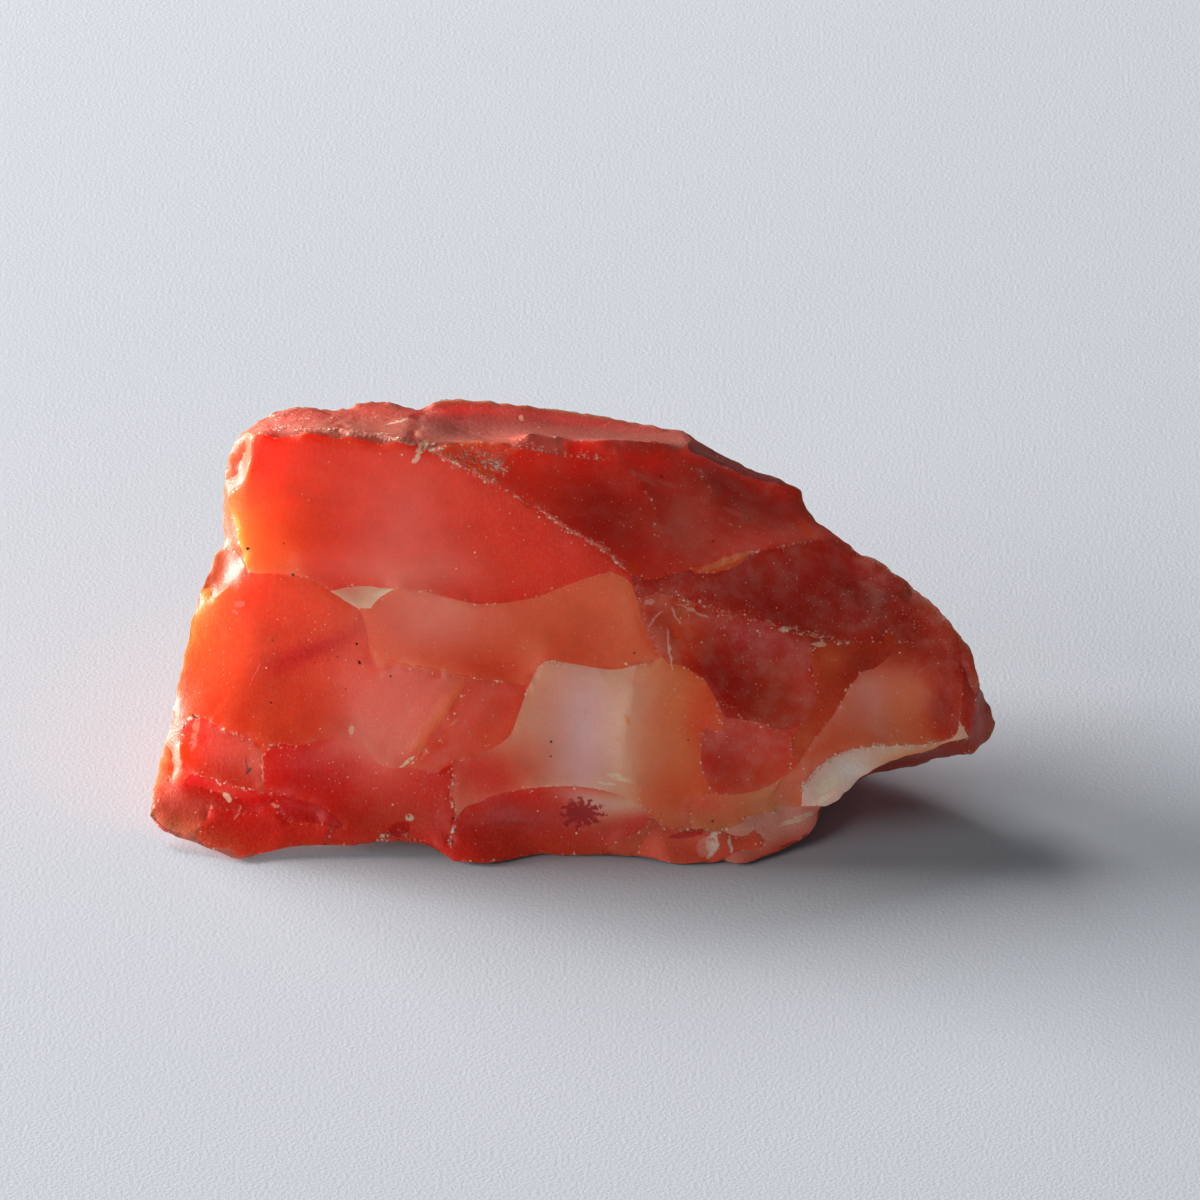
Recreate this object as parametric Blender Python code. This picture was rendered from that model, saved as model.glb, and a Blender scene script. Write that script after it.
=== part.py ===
"""Rough carnelian: one broken lump of translucent chalcedony, 42 mm long, built as one solid.

The lump is drawn as a net of ridges. A corner is a named point where ridges meet or bend, a ridge is the
line between two corners, and a scar is the shallow hollow that a flake left inside a ring of ridges.
Points on the front are drawn square on to the broad front face, which leans back: (across, up, back).
Points behind and underneath are drawn upright: (x, y, z). All of them are in millimetres.
"""

import math
import re

import bpy
import numpy as np
from mathutils import Vector, noise
from mathutils.geometry import delaunay_2d_cdt

MM = 0.001
FACE_LEAN = math.radians(28)  # the broad front face leans back this far from upright
GRAIN = 0.72  # spacing of the mesh's points, in mm
SOLE_LIFT = 0.15  # clearance under the lower front edge, in mm
GRAIN_JITTER = 0.15  # how far an inner point strays from its place, as a share of the spacing
EDGE_CLEARANCE = 0.55  # inner points keep this share of the spacing from a ridge
SAME_PLACE = 1e-6  # points closer than this are one, in mm
INSIDE_ONLY = 1  # the triangulation's output type that keeps only triangles inside the outline
RIDGE_WANDER = 0.08  # how far a ridge wanders from its smooth line, in mm
WANDER_SIZE = 1.6  # length of one wander, in mm
RIDGE_SWAY = 0.12  # how far a ridge also sways between its corners, as a share of its length
SWAY_SIZE = 4.0  # length of one sway, in mm
SHARP_ANGLE = math.radians(24)  # a ridge bent more than this is shaded as a sharp edge
COLOUR = (0.62, 0.09, 0.035, 1)
ROUGHNESS = 0.32


def face_on(across, up, back):
    """A point drawn square on to the leaning front face, stood upright."""
    lean_cos, lean_sin = math.cos(FACE_LEAN), math.sin(FACE_LEAN)
    return Vector((across, up * lean_sin + back * lean_cos, up * lean_cos - back * lean_sin))


def near_ground(across, up):
    """A point that face_on would draw at the same across and up, just clear of what the lump rests on."""
    return Vector((across, (up - SOLE_LIFT * math.cos(FACE_LEAN)) / math.sin(FACE_LEAN), SOLE_LIFT))


def run(name, *points, place=face_on):
    """Corners name_1, name_2 and so on, along one line."""
    return {f"{name}_{i + 1}": place(*point) for i, point in enumerate(points)}


def upright(x, y, z):
    return Vector((x, y, z))


CORNERS = {
    # The crest is the front edge of the top, and the spine runs on from it down the middle of the front.
    **run("crest", (-15.65, 21.6, 1.8), (-13.75, 21.6, 1.5), (-11.75, 21.45, 1.3), (-9.75, 21.2, 1.2),
          (-8.0, 21.05, 1.2), (-7.25, 20.75, 1.2)),
    **run("spine", (-5.95, 19.95, 1.2), (-4.25, 19.05, 1.2), (-3.0, 18.3, 1.1), (-1.5, 17.5, 1.0),
          (-0.15, 16.55, 0.8), (1.35, 15.75, 0.6), (2.85, 14.4, 0.3), (3.1, 13.1, 0.2), (3.65, 11.6, 0.0),
          (4.25, 10.3, -0.2), (4.75, 9.95, -0.2), (5.35, 9.9, -0.2), (6.25, 9.35, -0.3), (6.95, 8.4, -0.4),
          (7.35, 7.3, -0.6), (6.4, 7.05, -0.3), (6.25, 6.0, -0.3), (6.2, 5.0, -0.3), (6.55, 4.0, -0.3),
          (6.85, 3.5, -0.3)),
    # The hinge crosses the front under the upper face, with the sliver chipped out of it.
    **run("hinge", (1.75, 14.5, 0.4), (0.0, 13.95, 0.6), (-1.75, 13.25, 0.7), (-3.75, 12.95, 0.7),
          (-5.75, 13.1, 0.7), (-7.25, 13.5, 0.8), (-8.95, 13.7, 0.9), (-10.75, 13.8, 1.5),
          (-12.15, 13.55, 1.0), (-13.25, 14.15, 1.2), (-14.35, 14.35, 1.4), (-15.65, 14.4, 1.6),
          (-16.25, 14.5, 1.8)),
    **run("sliver", (-9.75, 13.25, 1.0), (-10.15, 12.75, 0.9), (-10.75, 12.7, 0.9), (-11.4, 13.1, 1.0)),
    **run("fold", (-10.15, 11.25, 1.25)),
    # The left side: the upper face's left edge, the outline and the small ember scar.
    **run("flank", (-16.2, 20.75, 2.2), (-16.25, 19.7, 2.2), (-16.5, 18.85, 2.4), (-17.15, 18.6, 2.9),
          (-17.35, 18.2, 3.1), (-17.1, 17.25, 2.8), (-16.7, 15.8, 2.3)),
    **run("left", (-15.65, 22.25, 4.0), (-16.75, 21.4, 3.6), (-17.25, 20.35, 3.6), (-17.5, 19.1, 3.7),
          (-17.6, 18.1, 3.8), (-17.65, 17.1, 3.8), (-17.5, 16.0, 3.5), (-18.1, 15.1, 3.3),
          (-18.4, 14.35, 3.2), (-18.8, 13.0, 3.1), (-19.25, 11.7, 3.0), (-19.5, 10.3, 3.0),
          (-19.85, 8.6, 3.0), (-20.15, 6.85, 3.0), (-20.75, 5.35, 2.9), (-20.75, 4.3, 2.8),
          (-21.1, 3.75, 2.7), (-21.15, 2.35, 2.2)),
    **run("ember", (-16.75, 13.95, 2.0), (-17.65, 13.5, 2.4), (-18.15, 12.9, 2.7)),
    # The lower left: a stepped block over a hollow band over the bottom lip.
    **run("step", (-19.55, 7.15, 2.3), (-18.5, 7.3, 1.9), (-17.65, 6.65, 1.5), (-16.5, 6.35, 1.2),
          (-15.6, 5.95, 1.0), (-13.75, 5.8, 0.9), (-12.25, 6.2, 0.9)),
    **run("block", (-15.45, 4.6, 0.9), (-15.35, 3.45, 0.8), (-16.75, 3.8, 1.1), (-18.5, 4.3, 1.5),
          (-19.65, 4.7, 2.0), (-19.7, 5.7, 2.2)),
    **run("band", (-13.75, 3.25, 0.9), (-12.0, 2.5, 0.9), (-11.25, 1.8, 0.8), (-14.5, 2.1, 1.2),
          (-17.0, 2.6, 1.5), (-19.6, 3.15, 2.0)),
    # The middle of the front: the brick, the notch beside it, and the pale face over the arch.
    **run("brick", (-10.55, 9.7, 1.2), (-8.75, 9.95, 0.7), (-7.0, 9.7, 0.4), (-5.25, 9.3, 0.1),
          (-5.75, 7.95, 0.1), (-6.75, 6.35, 0.1), (-7.65, 5.4, 0.2), (-8.25, 4.8, 0.4), (-9.75, 5.0, 0.7),
          (-11.15, 6.75, 1.2), (-11.0, 8.1, 1.3)),
    **run("notch", (-3.75, 9.1, 0.3), (-6.9, 4.5, 0.5)),
    **run("pale", (-1.6, 10.05, 0.1), (0.25, 9.9, 0.1), (1.75, 9.7, 0.0), (3.0, 9.9, -0.1),
          (-2.25, 8.9, 0.2), (-2.75, 7.5, 0.1), (-3.15, 6.4, 0.1), (-3.75, 5.9, 0.2), (-4.75, 5.5, 0.4),
          (-6.0, 5.0, 0.6), (-6.15, 3.6, 0.5)),
    **run("crease", (2.85, 8.1, -0.4), (2.55, 5.6, -0.45)),
    **run("arch", (-5.9, 2.3, 0.4), (-4.75, 3.15, 0.2), (-2.75, 3.7, 0.0), (-0.75, 3.85, -0.15),
          (1.25, 3.7, -0.25), (3.25, 2.95, -0.2), (-6.2, 1.1, 0.35)),
    **run("toe", (4.35, 1.85, 0.1), (3.25, 1.6, 0.25), (2.25, 1.2, 0.4), (1.4, 0.8, 0.7),
          (5.75, 3.1, -0.1), (5.75, 1.7, 0.1), (7.35, 1.65, 0.1), (8.15, 1.95, 0.2), (8.55, 2.35, 0.4),
          (9.75, 2.55, 0.8), (9.25, 1.4, 0.5)),
    # The right side of the front, from the vale under the top down to the lip that overhangs the ground.
    **run("vale", (2.65, 19.7, 3.7), (4.0, 17.85, 3.0), (3.75, 15.85, 1.9), (6.85, 18.6, 5.1),
          (6.25, 16.6, 3.5)),
    **run("bench", (4.0, 14.1, 0.8), (5.75, 14.65, 1.5), (6.35, 14.4, 1.4), (8.0, 14.75, 1.9),
          (8.75, 15.45, 2.7), (10.25, 15.8, 3.5), (12.0, 16.15, 4.9), (13.15, 16.35, 6.7)),
    **run("crescent", (7.35, 15.1, 2.2)),
    **run("shelf", (15.65, 12.95, 3.7), (15.3, 11.1, 2.7), (13.5, 11.0, 2.3), (11.85, 10.95, 1.9),
          (10.75, 11.6, 1.7), (9.5, 12.0, 1.6), (8.0, 12.35, 1.4), (6.1, 12.95, 1.0), (4.25, 13.5, 0.8)),
    **run("saddle", (5.75, 12.45, 0.8), (4.85, 12.0, 0.5), (5.2, 10.85, 0.1)),
    **run("bowl", (11.8, 9.85, 1.6), (12.0, 8.6, 1.4), (11.65, 7.35, 1.1), (10.65, 6.2, 0.8),
          (9.65, 6.85, 0.6), (8.5, 7.15, 0.1)),
    **run("cup", (10.8, 5.35, 0.6), (10.45, 4.35, 0.5), (9.5, 3.75, 0.3), (8.25, 3.45, 0.0)),
    **run("gutter", (15.45, 10.1, 2.3), (14.35, 9.5, 1.8), (13.65, 8.85, 1.4), (13.15, 7.85, 1.1),
          (12.0, 6.35, 0.7), (11.1, 4.95, 0.5)),
    **run("cheek", (17.0, 9.95, 2.0), (19.15, 10.35, 2.6), (19.35, 8.6, 2.3), (19.15, 7.1, 2.2),
          (19.05, 6.25, 2.3)),
    **run("brow", (11.25, 3.6, 0.7), (12.0, 4.7, 0.7), (13.15, 5.5, 0.9), (14.75, 5.85, 1.2),
          (16.5, 5.85, 1.5), (18.1, 6.05, 1.9)),
    **run("lip", (11.25, 2.8, 1.3), (12.75, 2.8, 0.9), (13.15, 3.25, 1.0), (13.75, 3.8, 1.2),
          (14.4, 4.35, 1.4), (15.25, 4.85, 1.6), (16.5, 5.25, 1.8), (18.0, 5.7, 2.1), (19.65, 6.25, 2.5)),
    **run("end", (20.0, 7.6, 2.9)),
    **run("nub", (20.5, 8.25, 4.2), (20.9, 7.6, 4.6), (21.05, 7.0, 4.8), (20.85, 6.35, 4.6),
          (20.45, 5.75, 4.0), (19.75, 5.35, 3.6), (18.25, 5.15, 4.4), (17.0, 4.75, 4.8),
          (15.5, 4.5, 5.2), (14.35, 4.2, 5.6)),
    # The top, and the skyline round the top's far edge and down the right side.
    **run("roof", (-11.7, 22.1, 3.2), (-7.75, 21.9, 3.7), (-6.0, 20.95, 1.9), (-4.5, 21.05, 2.4),
          (-3.15, 20.75, 2.5), (-3.6, 19.85, 1.8), (-1.75, 20.5, 2.8), (-0.45, 20.35, 3.1),
          (-0.65, 21.25, 4.0), (-2.1, 21.5, 4.0), (1.25, 21.15, 4.5), (3.5, 21.1, 5.6), (5.35, 20.65, 6.8),
          (7.0, 20.15, 7.4), (9.25, 19.15, 7.6)),
    **run("rim", (20.15, 9.0, 3.0), (20.0, 10.0, 3.0), (19.75, 10.75, 3.0), (19.25, 11.4, 3.1),
          (18.5, 12.35, 3.7), (17.75, 13.1, 4.3), (16.5, 14.2, 5.0), (15.25, 15.1, 5.6), (13.75, 15.9, 6.4),
          (12.5, 16.85, 7.0), (11.85, 17.35, 7.4), (11.55, 18.0, 7.8), (11.4, 18.65, 8.0)),
    **run("sky", (9.25, 19.6, 8.6), (8.0, 20.2, 9.0), (6.85, 20.8, 9.4), (6.0, 21.35, 9.7),
          (4.85, 21.75, 9.8), (3.25, 22.05, 9.8), (1.25, 22.45, 9.6), (-0.75, 22.75, 9.2),
          (-2.75, 23.0, 8.6), (-5.25, 23.2, 8.0), (-6.75, 23.25, 7.4), (-7.35, 23.05, 7.0),
          (-7.85, 22.7, 6.6), (-8.75, 22.85, 6.4), (-9.5, 23.2, 6.4), (-10.15, 23.1, 6.2),
          (-11.0, 23.0, 5.8), (-11.65, 22.65, 5.2), (-12.75, 22.75, 4.9), (-14.0, 22.9, 4.6),
          (-15.0, 22.55, 4.3)),
    # The foot is the lower edge of the front, raised at both ends and just clear of the ground between.
    **run("foot", (-20.5, 1.65, 1.6), (-19.25, 1.2, 1.1), (-18.0, 0.7, 0.7), (-16.75, 0.2, 0.05),
          (-14.75, 0.7, 0.6), (-13.25, 0.9, 0.7), (-11.5, 0.9, 0.8), (-8.75, 1.1, 0.8), (-7.25, 0.85, 0.6)),
    **run("sole", (-6.0, 0.15), (-4.25, 0.05), (-2.75, 0.35), (-1.5, 0.55), (1.25, 0.5), (3.65, 0.35),
          (4.5, 0.1), (6.25, 0.1), (7.35, 0.2), (8.25, 0.0), place=near_ground),
    **run("heel", (10.0, 0.6, 0.6), (11.5, 1.3, 1.4), (12.2, 2.1, 2.2), (12.3, 2.7, 2.8)),
    # The back, the underside and the small flat that the lump rests on, drawn upright.
    **run("ledge", (-15.8, 16.8, 14.5), (-11.2, 18.6, 13.2), (-4.6, 20.2, 11.8), (3.2, 20.8, 10.9),
          (9.4, 18.2, 8.9), (15.8, 12.4, 6.4), place=upright),
    **run("bay", (-14.6, 17.6, 9.2), (-13.0, 17.4, 5.4), (-8.6, 19.0, 3.6), (-3.4, 20.6, 4.4),
          (-0.6, 21.2, 7.6), place=upright),
    **run("corner", (-18.3, 12.8, 8.5), (-16.9, 14.0, 4.2), (-19.2, 8.2, 2.6), place=upright),
    **run("edge", (-12.6, 14.6, 1.9), (-6.8, 17.8, 1.5), (3.8, 18.6, 2.2), (9.8, 14.8, 2.0),
          (14.5, 11.6, 2.8), place=upright),
    **run("rib", (2.6, 20.8, 5.8), (8.8, 17.6, 5.0), place=upright),
    **run("under", (-14.0, 6.5, 0.9), (10.4, 6.4, 1.0), place=upright),
    **run("base", (-3.6, 7.0, 0), (2.2, 7.4, 0), (5.2, 10.2, 0), (3.6, 13.8, 0), (-1.2, 15.0, 0),
          (-6.0, 13.6, 0), (-7.4, 9.8, 0), place=upright),
}

# Each scar: how deep its hollow is, in mm, and its ring of corners, clockwise seen from outside.
SCARS = {
    "upper_face": (0.9, "crest_1-6 spine_1-7 hinge_1-13 flank_7-1"),
    "left_chips": (0.35, "crest_1 flank_1-5 left_5-2"),
    "left_strip": (0.12, "flank_5-7 hinge_13 left_7-5"),
    "ember": (0.3, "left_7 hinge_13 ember_1-3 left_10-8"),
    "left_face": (0.35, "hinge_13-9 sliver_4-3 fold_1 brick_1 brick_11-10 step_7-1 left_14-10 ember_3-1"),
    "sliver": (0.12, "hinge_9-7 sliver_1-4"),
    "middle_face": (0.42, "hinge_7-1 spine_7-11 pale_4-1 pale_5 notch_1 brick_4-1 fold_1 sliver_3-1"),
    "brick": (0.25, "brick_1-11"),
    "notch": (0.22, "brick_4 notch_1 pale_5-10 notch_2 brick_8-5"),
    "pale_left": (0.25, "pale_5 pale_1-4 crease_1-2 arch_6-1 pale_11-6"),
    "pale_right": (0.2, "pale_4 spine_11-20 toe_5 toe_1 arch_6 crease_2-1"),
    "arch": (0.6, "arch_1-6 toe_1-4 sole_5-1 arch_7"),
    "toe_strip": (0.08, "toe_1 sole_7-5 toe_4-2"),
    "toe_chip": (0.25, "toe_1 toe_6-7 sole_9-7"),
    "toe_corner": (0.2, "toe_7-9 toe_11 heel_1 sole_10-9"),
    "toe_side": (0.2, "toe_9-10 lip_1 heel_4-1 toe_11"),
    "lower_right": (0.3, "spine_20 cup_4-1 gutter_6 brow_1 lip_1 toe_10-6 toe_1 toe_5"),
    "cup": (0.6, "spine_16-15 bowl_6-4 cup_1-4 spine_20-17"),
    "bowl": (0.8, "shelf_8-4 bowl_1-6 spine_15-12 saddle_3-1"),
    "saddle": (0.3, "spine_7 bench_1 shelf_9-8 saddle_1-3 spine_12-8"),
    "shelf": (0.6, "bench_1-8 rim_9-7 shelf_1-9"),
    "crescent": (0.1, "bench_2 crescent_1 bench_5-3"),
    "vale_left": (0.35, "spine_2 roof_6-5 roof_7-9 roof_11 vale_1-3 bench_1 spine_7-3"),
    "vale_middle": (0.2, "roof_11-13 vale_4-5 bench_2-1 vale_3-1"),
    "vale_right": (0.25, "roof_13-15 rim_13-10 bench_8-5 crescent_1 bench_2 vale_5-4"),
    "roof_chip": (0.1, "roof_5 roof_10-9 roof_8-7"),
    "roof_rough": (0.2, "crest_6 roof_3-6 spine_2-1"),
    "roof_left": (0.2, "left_2-1 sky_21-18 roof_1 crest_3-1"),
    "roof_middle": (0.3, "crest_3 roof_1 sky_18-13 roof_2 crest_5-4"),
    "roof_main": (0.5, "crest_5 roof_2 sky_13-4 roof_13-11 roof_9-10 roof_5-3 crest_6"),
    "roof_right": (0.12, "roof_13 sky_4-1 rim_13 roof_15-14"),
    "cheek_upper": (0.4, "rim_7-4 cheek_2-1 gutter_1 shelf_2-1"),
    "cheek_lower": (0.5, "gutter_1 cheek_1-5 brow_6-1 gutter_6-2"),
    "gutter": (0.12, "shelf_4-2 gutter_1-6 cup_1 bowl_4-1"),
    "lip": (0.15, "brow_1-6 cheek_5 lip_9-1"),
    "right_end": (0.15, "rim_4-1 end_1 lip_9 cheek_5-2"),
    "nub": (0.1, "rim_1 nub_1-7 lip_8-9 end_1"),
    "under_lip_right": (0.2, "lip_8 nub_7-10 lip_5-7"),
    "under_lip_left": (0.2, "lip_1-5 nub_10 heel_4"),
    "block": (0.3, "step_1-5 block_1-6"),
    "left_nicks": (0.15, "left_14 step_1 block_6-5 band_6 left_17-15"),
    "band": (0.45, "block_5-2 band_1-6"),
    "bottom_lip": (0.25, "left_17 band_6-3 foot_7-1 left_18"),
    "lower_face": (0.5, "step_5-7 brick_10-8 notch_2 pale_10-11 arch_1 arch_7 sole_1 foot_9-7 band_3-1 block_2-1"),
    "back_top_left": (0.4, "sky_15-21 left_1 ledge_1-2"),
    "back_bay": (1.2, "sky_9-15 ledge_2 bay_1-5 ledge_3"),
    "back_top_right": (0.4, "sky_5-9 ledge_3-4"),
    "back_top_end": (0.4, "rim_13 sky_1-5 ledge_4-5"),
    "back_rim": (0.5, "rim_7-9 bench_8 rim_10-13 ledge_5-6"),
    "back_end": (0.4, "nub_3-1 rim_1-7 ledge_6"),
    "left_end_top": (0.5, "ledge_1 left_1-10 corner_1"),
    "left_end_low": (0.4, "corner_1 left_10-18 corner_3-2"),
    "back_left": (0.5, "ledge_2-1 corner_1-2 bay_2-1"),
    "back_left_low": (0.5, "bay_3-2 corner_2-3 edge_1-2"),
    "back_middle": (0.7, "bay_5-3 edge_2-3 rib_1"),
    "back_right": (0.6, "ledge_5-3 bay_5 rib_1-2"),
    "back_right_low": (0.4, "rib_2-1 edge_3-4"),
    "back_far_right": (0.6, "ledge_6-5 rib_2 edge_4-5"),
    "tail": (0.2, "nub_6-3 ledge_6 edge_5"),
    "base": (0.0, "base_1-7"),
    "under_right": (0.5, "nub_6 edge_5 under_2 sole_10 heel_1-4 nub_10-7"),
    "under_far_right": (0.4, "under_2 edge_5-4 base_4-3"),
    "under_middle": (0.4, "edge_4-2 base_5-4"),
    "under_far_left": (0.5, "edge_2-1 corner_3 under_1 base_7-5"),
    "under_left": (0.3, "foot_4-9 sole_1 base_1 base_7 under_1"),
    "under_tip": (0.3, "left_18 foot_1-4 under_1 corner_3"),
    "under_front_left": (0.35, "sole_1-5 base_2-1"),
    "under_front_right": (0.35, "sole_5-10 under_2 base_3-2"),
}


def corner_names(ring):
    """The ring's corners by name, with each span such as crest_1-6 written out."""
    names = []
    for word in ring.split():
        stem, first, last = re.fullmatch(r"(\w+)_(\d+)(?:-(\d+))?", word).groups()
        first, last = int(first), int(last or first)
        step = 1 if last >= first else -1
        names += [f"{stem}_{i}" for i in range(first, last + step, step)]
    return names


def pairs(ring):
    return list(zip(ring, ring[1:] + ring[:1]))


def ridge_points(start, end, before, after):
    """Points from corner start to corner end, on a smooth curve that wanders a little. before and after are
    the corners that the same ridge comes from and goes on to, or None where it meets other ridges."""
    a, b = CORNERS[start], CORNERS[end]
    leaving = (b - CORNERS[before]) / 2 if before else b - a
    arriving = (CORNERS[after] - a) / 2 if after else b - a
    length = (b - a).length
    count = max(1, round(length / GRAIN))
    flat = a.z == 0 and b.z == 0
    points = [a]
    for i in range(1, count):
        s = i / count
        smooth = (
            a * (2 * s**3 - 3 * s**2 + 1) + leaving * (s**3 - 2 * s**2 + s)
            + b * (3 * s**2 - 2 * s**3) + arriving * (s**3 - s**2)
        )
        sway = noise.noise_vector(smooth / SWAY_SIZE) * RIDGE_SWAY * length * math.sin(math.pi * s)
        place = smooth + noise.noise_vector(smooth / WANDER_SIZE) * RIDGE_WANDER + sway
        place.z = 0 if flat else max(place.z, SOLE_LIFT / 2)
        points.append(place)
    return points + [b]


def neighbours_of(rings):
    joined = {name: set() for name in CORNERS}
    for ring in rings:
        for a, b in pairs(ring):
            joined[a].add(b)
            joined[b].add(a)
    return joined


def draw_ridges(rings, points):
    """Adds every ridge's points to the list, and returns each ridge's indices from its first corner to its last."""
    joined = neighbours_of(rings)
    index = {}
    for name, place in CORNERS.items():
        index[name] = len(points)
        points.append(place)

    def onward(here, there):
        others = joined[here] - {there}
        return others.pop() if len(others) == 1 else None

    ridges = {}
    for ring in rings:
        for a, b in pairs(ring):
            if (b, a) in ridges:
                ridges[a, b] = ridges[b, a][::-1]
                continue
            inner = ridge_points(a, b, onward(a, b), onward(b, a))[1:-1]
            first = len(points)
            points += inner
            ridges[a, b] = [index[a], *range(first, first + len(inner)), index[b]]
    return ridges


def ring_normal(ring):
    normal = Vector((0, 0, 0))
    for a, b in pairs(ring):
        normal += a.cross(b)
    return -normal.normalized()  # the ring runs clockwise


def hex_grid(outline):
    """Points of a hexagonal grid over the outline's box, in the outline's plane."""
    low, high = outline.min(0), outline.max(0)
    row_height = GRAIN * math.sqrt(3) / 2
    rows = math.ceil((high[1] - low[1]) / row_height)
    columns = math.ceil((high[0] - low[0]) / GRAIN)
    for row in range(1, rows):
        for column in range(columns + 1):
            x = low[0] + (column + 0.5 * (row % 2)) * GRAIN
            y = low[1] + row * row_height
            jitter = noise.noise_vector(Vector((x, y, low[0]))) * GRAIN_JITTER * GRAIN
            yield np.array((x + jitter.x, y + jitter.y))


def clearance(point, outline):
    """Distance from the point to the outline, negative outside it."""
    start, end = outline, np.roll(outline, -1, axis=0)
    side = end - start
    share = ((point - start) * side).sum(1) / (side**2).sum(1)
    nearest = start + side * np.clip(share, 0, 1)[:, None]
    distance = np.linalg.norm(point - nearest, axis=1).min()
    spans = (start[:, 1] > point[1]) != (end[:, 1] > point[1])
    crossing = start[:, 0] + (point[1] - start[:, 1]) * side[:, 0] / np.where(spans, side[:, 1], 1)
    inside = (spans & (crossing > point[0])).sum() % 2 == 1
    return distance if inside else -distance


def relax(fixed_values, faces, count, load):
    """Heights of inner points on a sheet stretched over fixed outer ones and pressed evenly by load."""
    held = len(fixed_values)
    matrix = np.zeros((count, count))
    for face in faces:
        for a, b in pairs(list(face)):
            matrix[a, b] = matrix[b, a] = 1
    inner = matrix[held:, held:] - np.diag(matrix[held:].sum(1))
    known = matrix[held:, :held] @ fixed_values
    return np.linalg.solve(inner, -known - load)


def fill_scar(depth, rim, points):
    """Triangles that close one ring of ridges with a hollow of that depth. Adds its inner points to the list."""
    ring = [points[i] for i in rim]
    normal = ring_normal(ring)
    centre = sum(ring, Vector()) / len(ring)
    across = normal.orthogonal().normalized()
    up = normal.cross(across)
    outline = np.array([((p - centre).dot(across), (p - centre).dot(up)) for p in ring])[::-1]
    rim = rim[::-1]
    heights = np.array([(points[i] - centre).dot(normal) for i in rim])
    inner = [p for p in hex_grid(outline) if clearance(p, outline) > EDGE_CLEARANCE * GRAIN]
    flat = [Vector(p) for p in [*outline, *inner]]
    sides = [(i, (i + 1) % len(rim)) for i in range(len(rim))]
    faces = delaunay_2d_cdt(flat, sides, [], INSIDE_ONLY, SAME_PLACE)[2]
    first = len(points)
    if inner:
        level = relax(heights, faces, len(flat), 0)
        hollow = relax(heights * 0, faces, len(flat), 1)
        level -= depth * hollow / hollow.max()
        points += [centre + across * p[0] + up * p[1] + normal * z for p, z in zip(inner, level)]
    owner = [*rim, *range(first, first + len(inner))]
    return [[owner[i] for i in face] for face in faces]


def build_points_and_faces():
    rings = {name: corner_names(ring) for name, (_, ring) in SCARS.items()}
    points, faces = [], []
    ridges = draw_ridges(rings.values(), points)
    for name, (depth, _) in SCARS.items():
        rim = [i for pair in pairs(rings[name]) for i in ridges[pair][:-1]]
        faces += fill_scar(depth, rim, points)
    return points, faces


def stone_mesh(points, faces):
    """The mesh in metres, with its origin under the middle of its box, on the ground."""
    places = np.array(points)
    middle = (places.min(0) + places.max(0)) / 2
    places = (places - (middle[0], middle[1], 0)) * MM
    mesh = bpy.data.meshes.new("carnelian")
    mesh.from_pydata(places.tolist(), [], faces)
    mesh.validate()
    mesh.shade_smooth()
    mesh.set_sharp_from_angle(angle=SHARP_ANGLE)
    return mesh


def carnelian_material():
    material = bpy.data.materials.new("carnelian")
    material.use_nodes = True
    shader = material.node_tree.nodes["Principled BSDF"]
    shader.inputs["Base Color"].default_value = COLOUR
    shader.inputs["Roughness"].default_value = ROUGHNESS
    shader.inputs["Metallic"].default_value = 0
    return material


def clear_scene():
    for leftover in list(bpy.data.objects):
        bpy.data.objects.remove(leftover)


def main():
    clear_scene()
    mesh = stone_mesh(*build_points_and_faces())
    mesh.materials.append(carnelian_material())
    bpy.context.scene.collection.objects.link(bpy.data.objects.new("carnelian", mesh))


main()
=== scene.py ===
"""The looks of the rough carnelian: its fine surface, its zones of colour and its translucent finish.

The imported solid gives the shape. Its faces are grouped into scars, the shallow hollows that flakes left,
by the ridges between them. The surface is subdivided with those ridges kept sharp, worn and chipped along
them, and painted scar by scar with soft clouds of colour. Places on the front are given as they were drawn,
in mm square on to the front face, which leans back: (across, up). Places behind are upright: (x, y, z).
"""

import math

import bpy
import numpy as np
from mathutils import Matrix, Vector, kdtree, noise


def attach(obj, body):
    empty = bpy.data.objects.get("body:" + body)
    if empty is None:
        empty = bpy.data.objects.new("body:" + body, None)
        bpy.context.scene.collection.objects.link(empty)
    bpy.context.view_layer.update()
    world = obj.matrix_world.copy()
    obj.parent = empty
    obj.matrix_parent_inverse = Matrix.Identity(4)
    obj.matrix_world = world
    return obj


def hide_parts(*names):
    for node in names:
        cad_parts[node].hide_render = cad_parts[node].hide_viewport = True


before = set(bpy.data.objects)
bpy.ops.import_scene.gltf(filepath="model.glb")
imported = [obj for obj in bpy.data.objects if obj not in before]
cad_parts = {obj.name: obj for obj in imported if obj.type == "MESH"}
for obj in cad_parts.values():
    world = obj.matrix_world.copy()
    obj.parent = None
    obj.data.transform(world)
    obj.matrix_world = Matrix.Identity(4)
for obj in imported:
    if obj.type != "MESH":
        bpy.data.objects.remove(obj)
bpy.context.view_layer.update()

MM = 0.001
FACE_LEAN = math.radians(28)  # the front face leans back this far, and the camera looks square on to it
TOWARDS_FRONT = (0, -math.cos(FACE_LEAN), math.sin(FACE_LEAN))
DRAWING_MIDDLE = (-0.05, 10.459)  # where the drawing has the middle of the box, in mm

SHARP_FOLD = math.radians(12)  # an edge between two scars that is bent more than this stays a ridge
SHADE_SHARP = math.radians(32)

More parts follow.
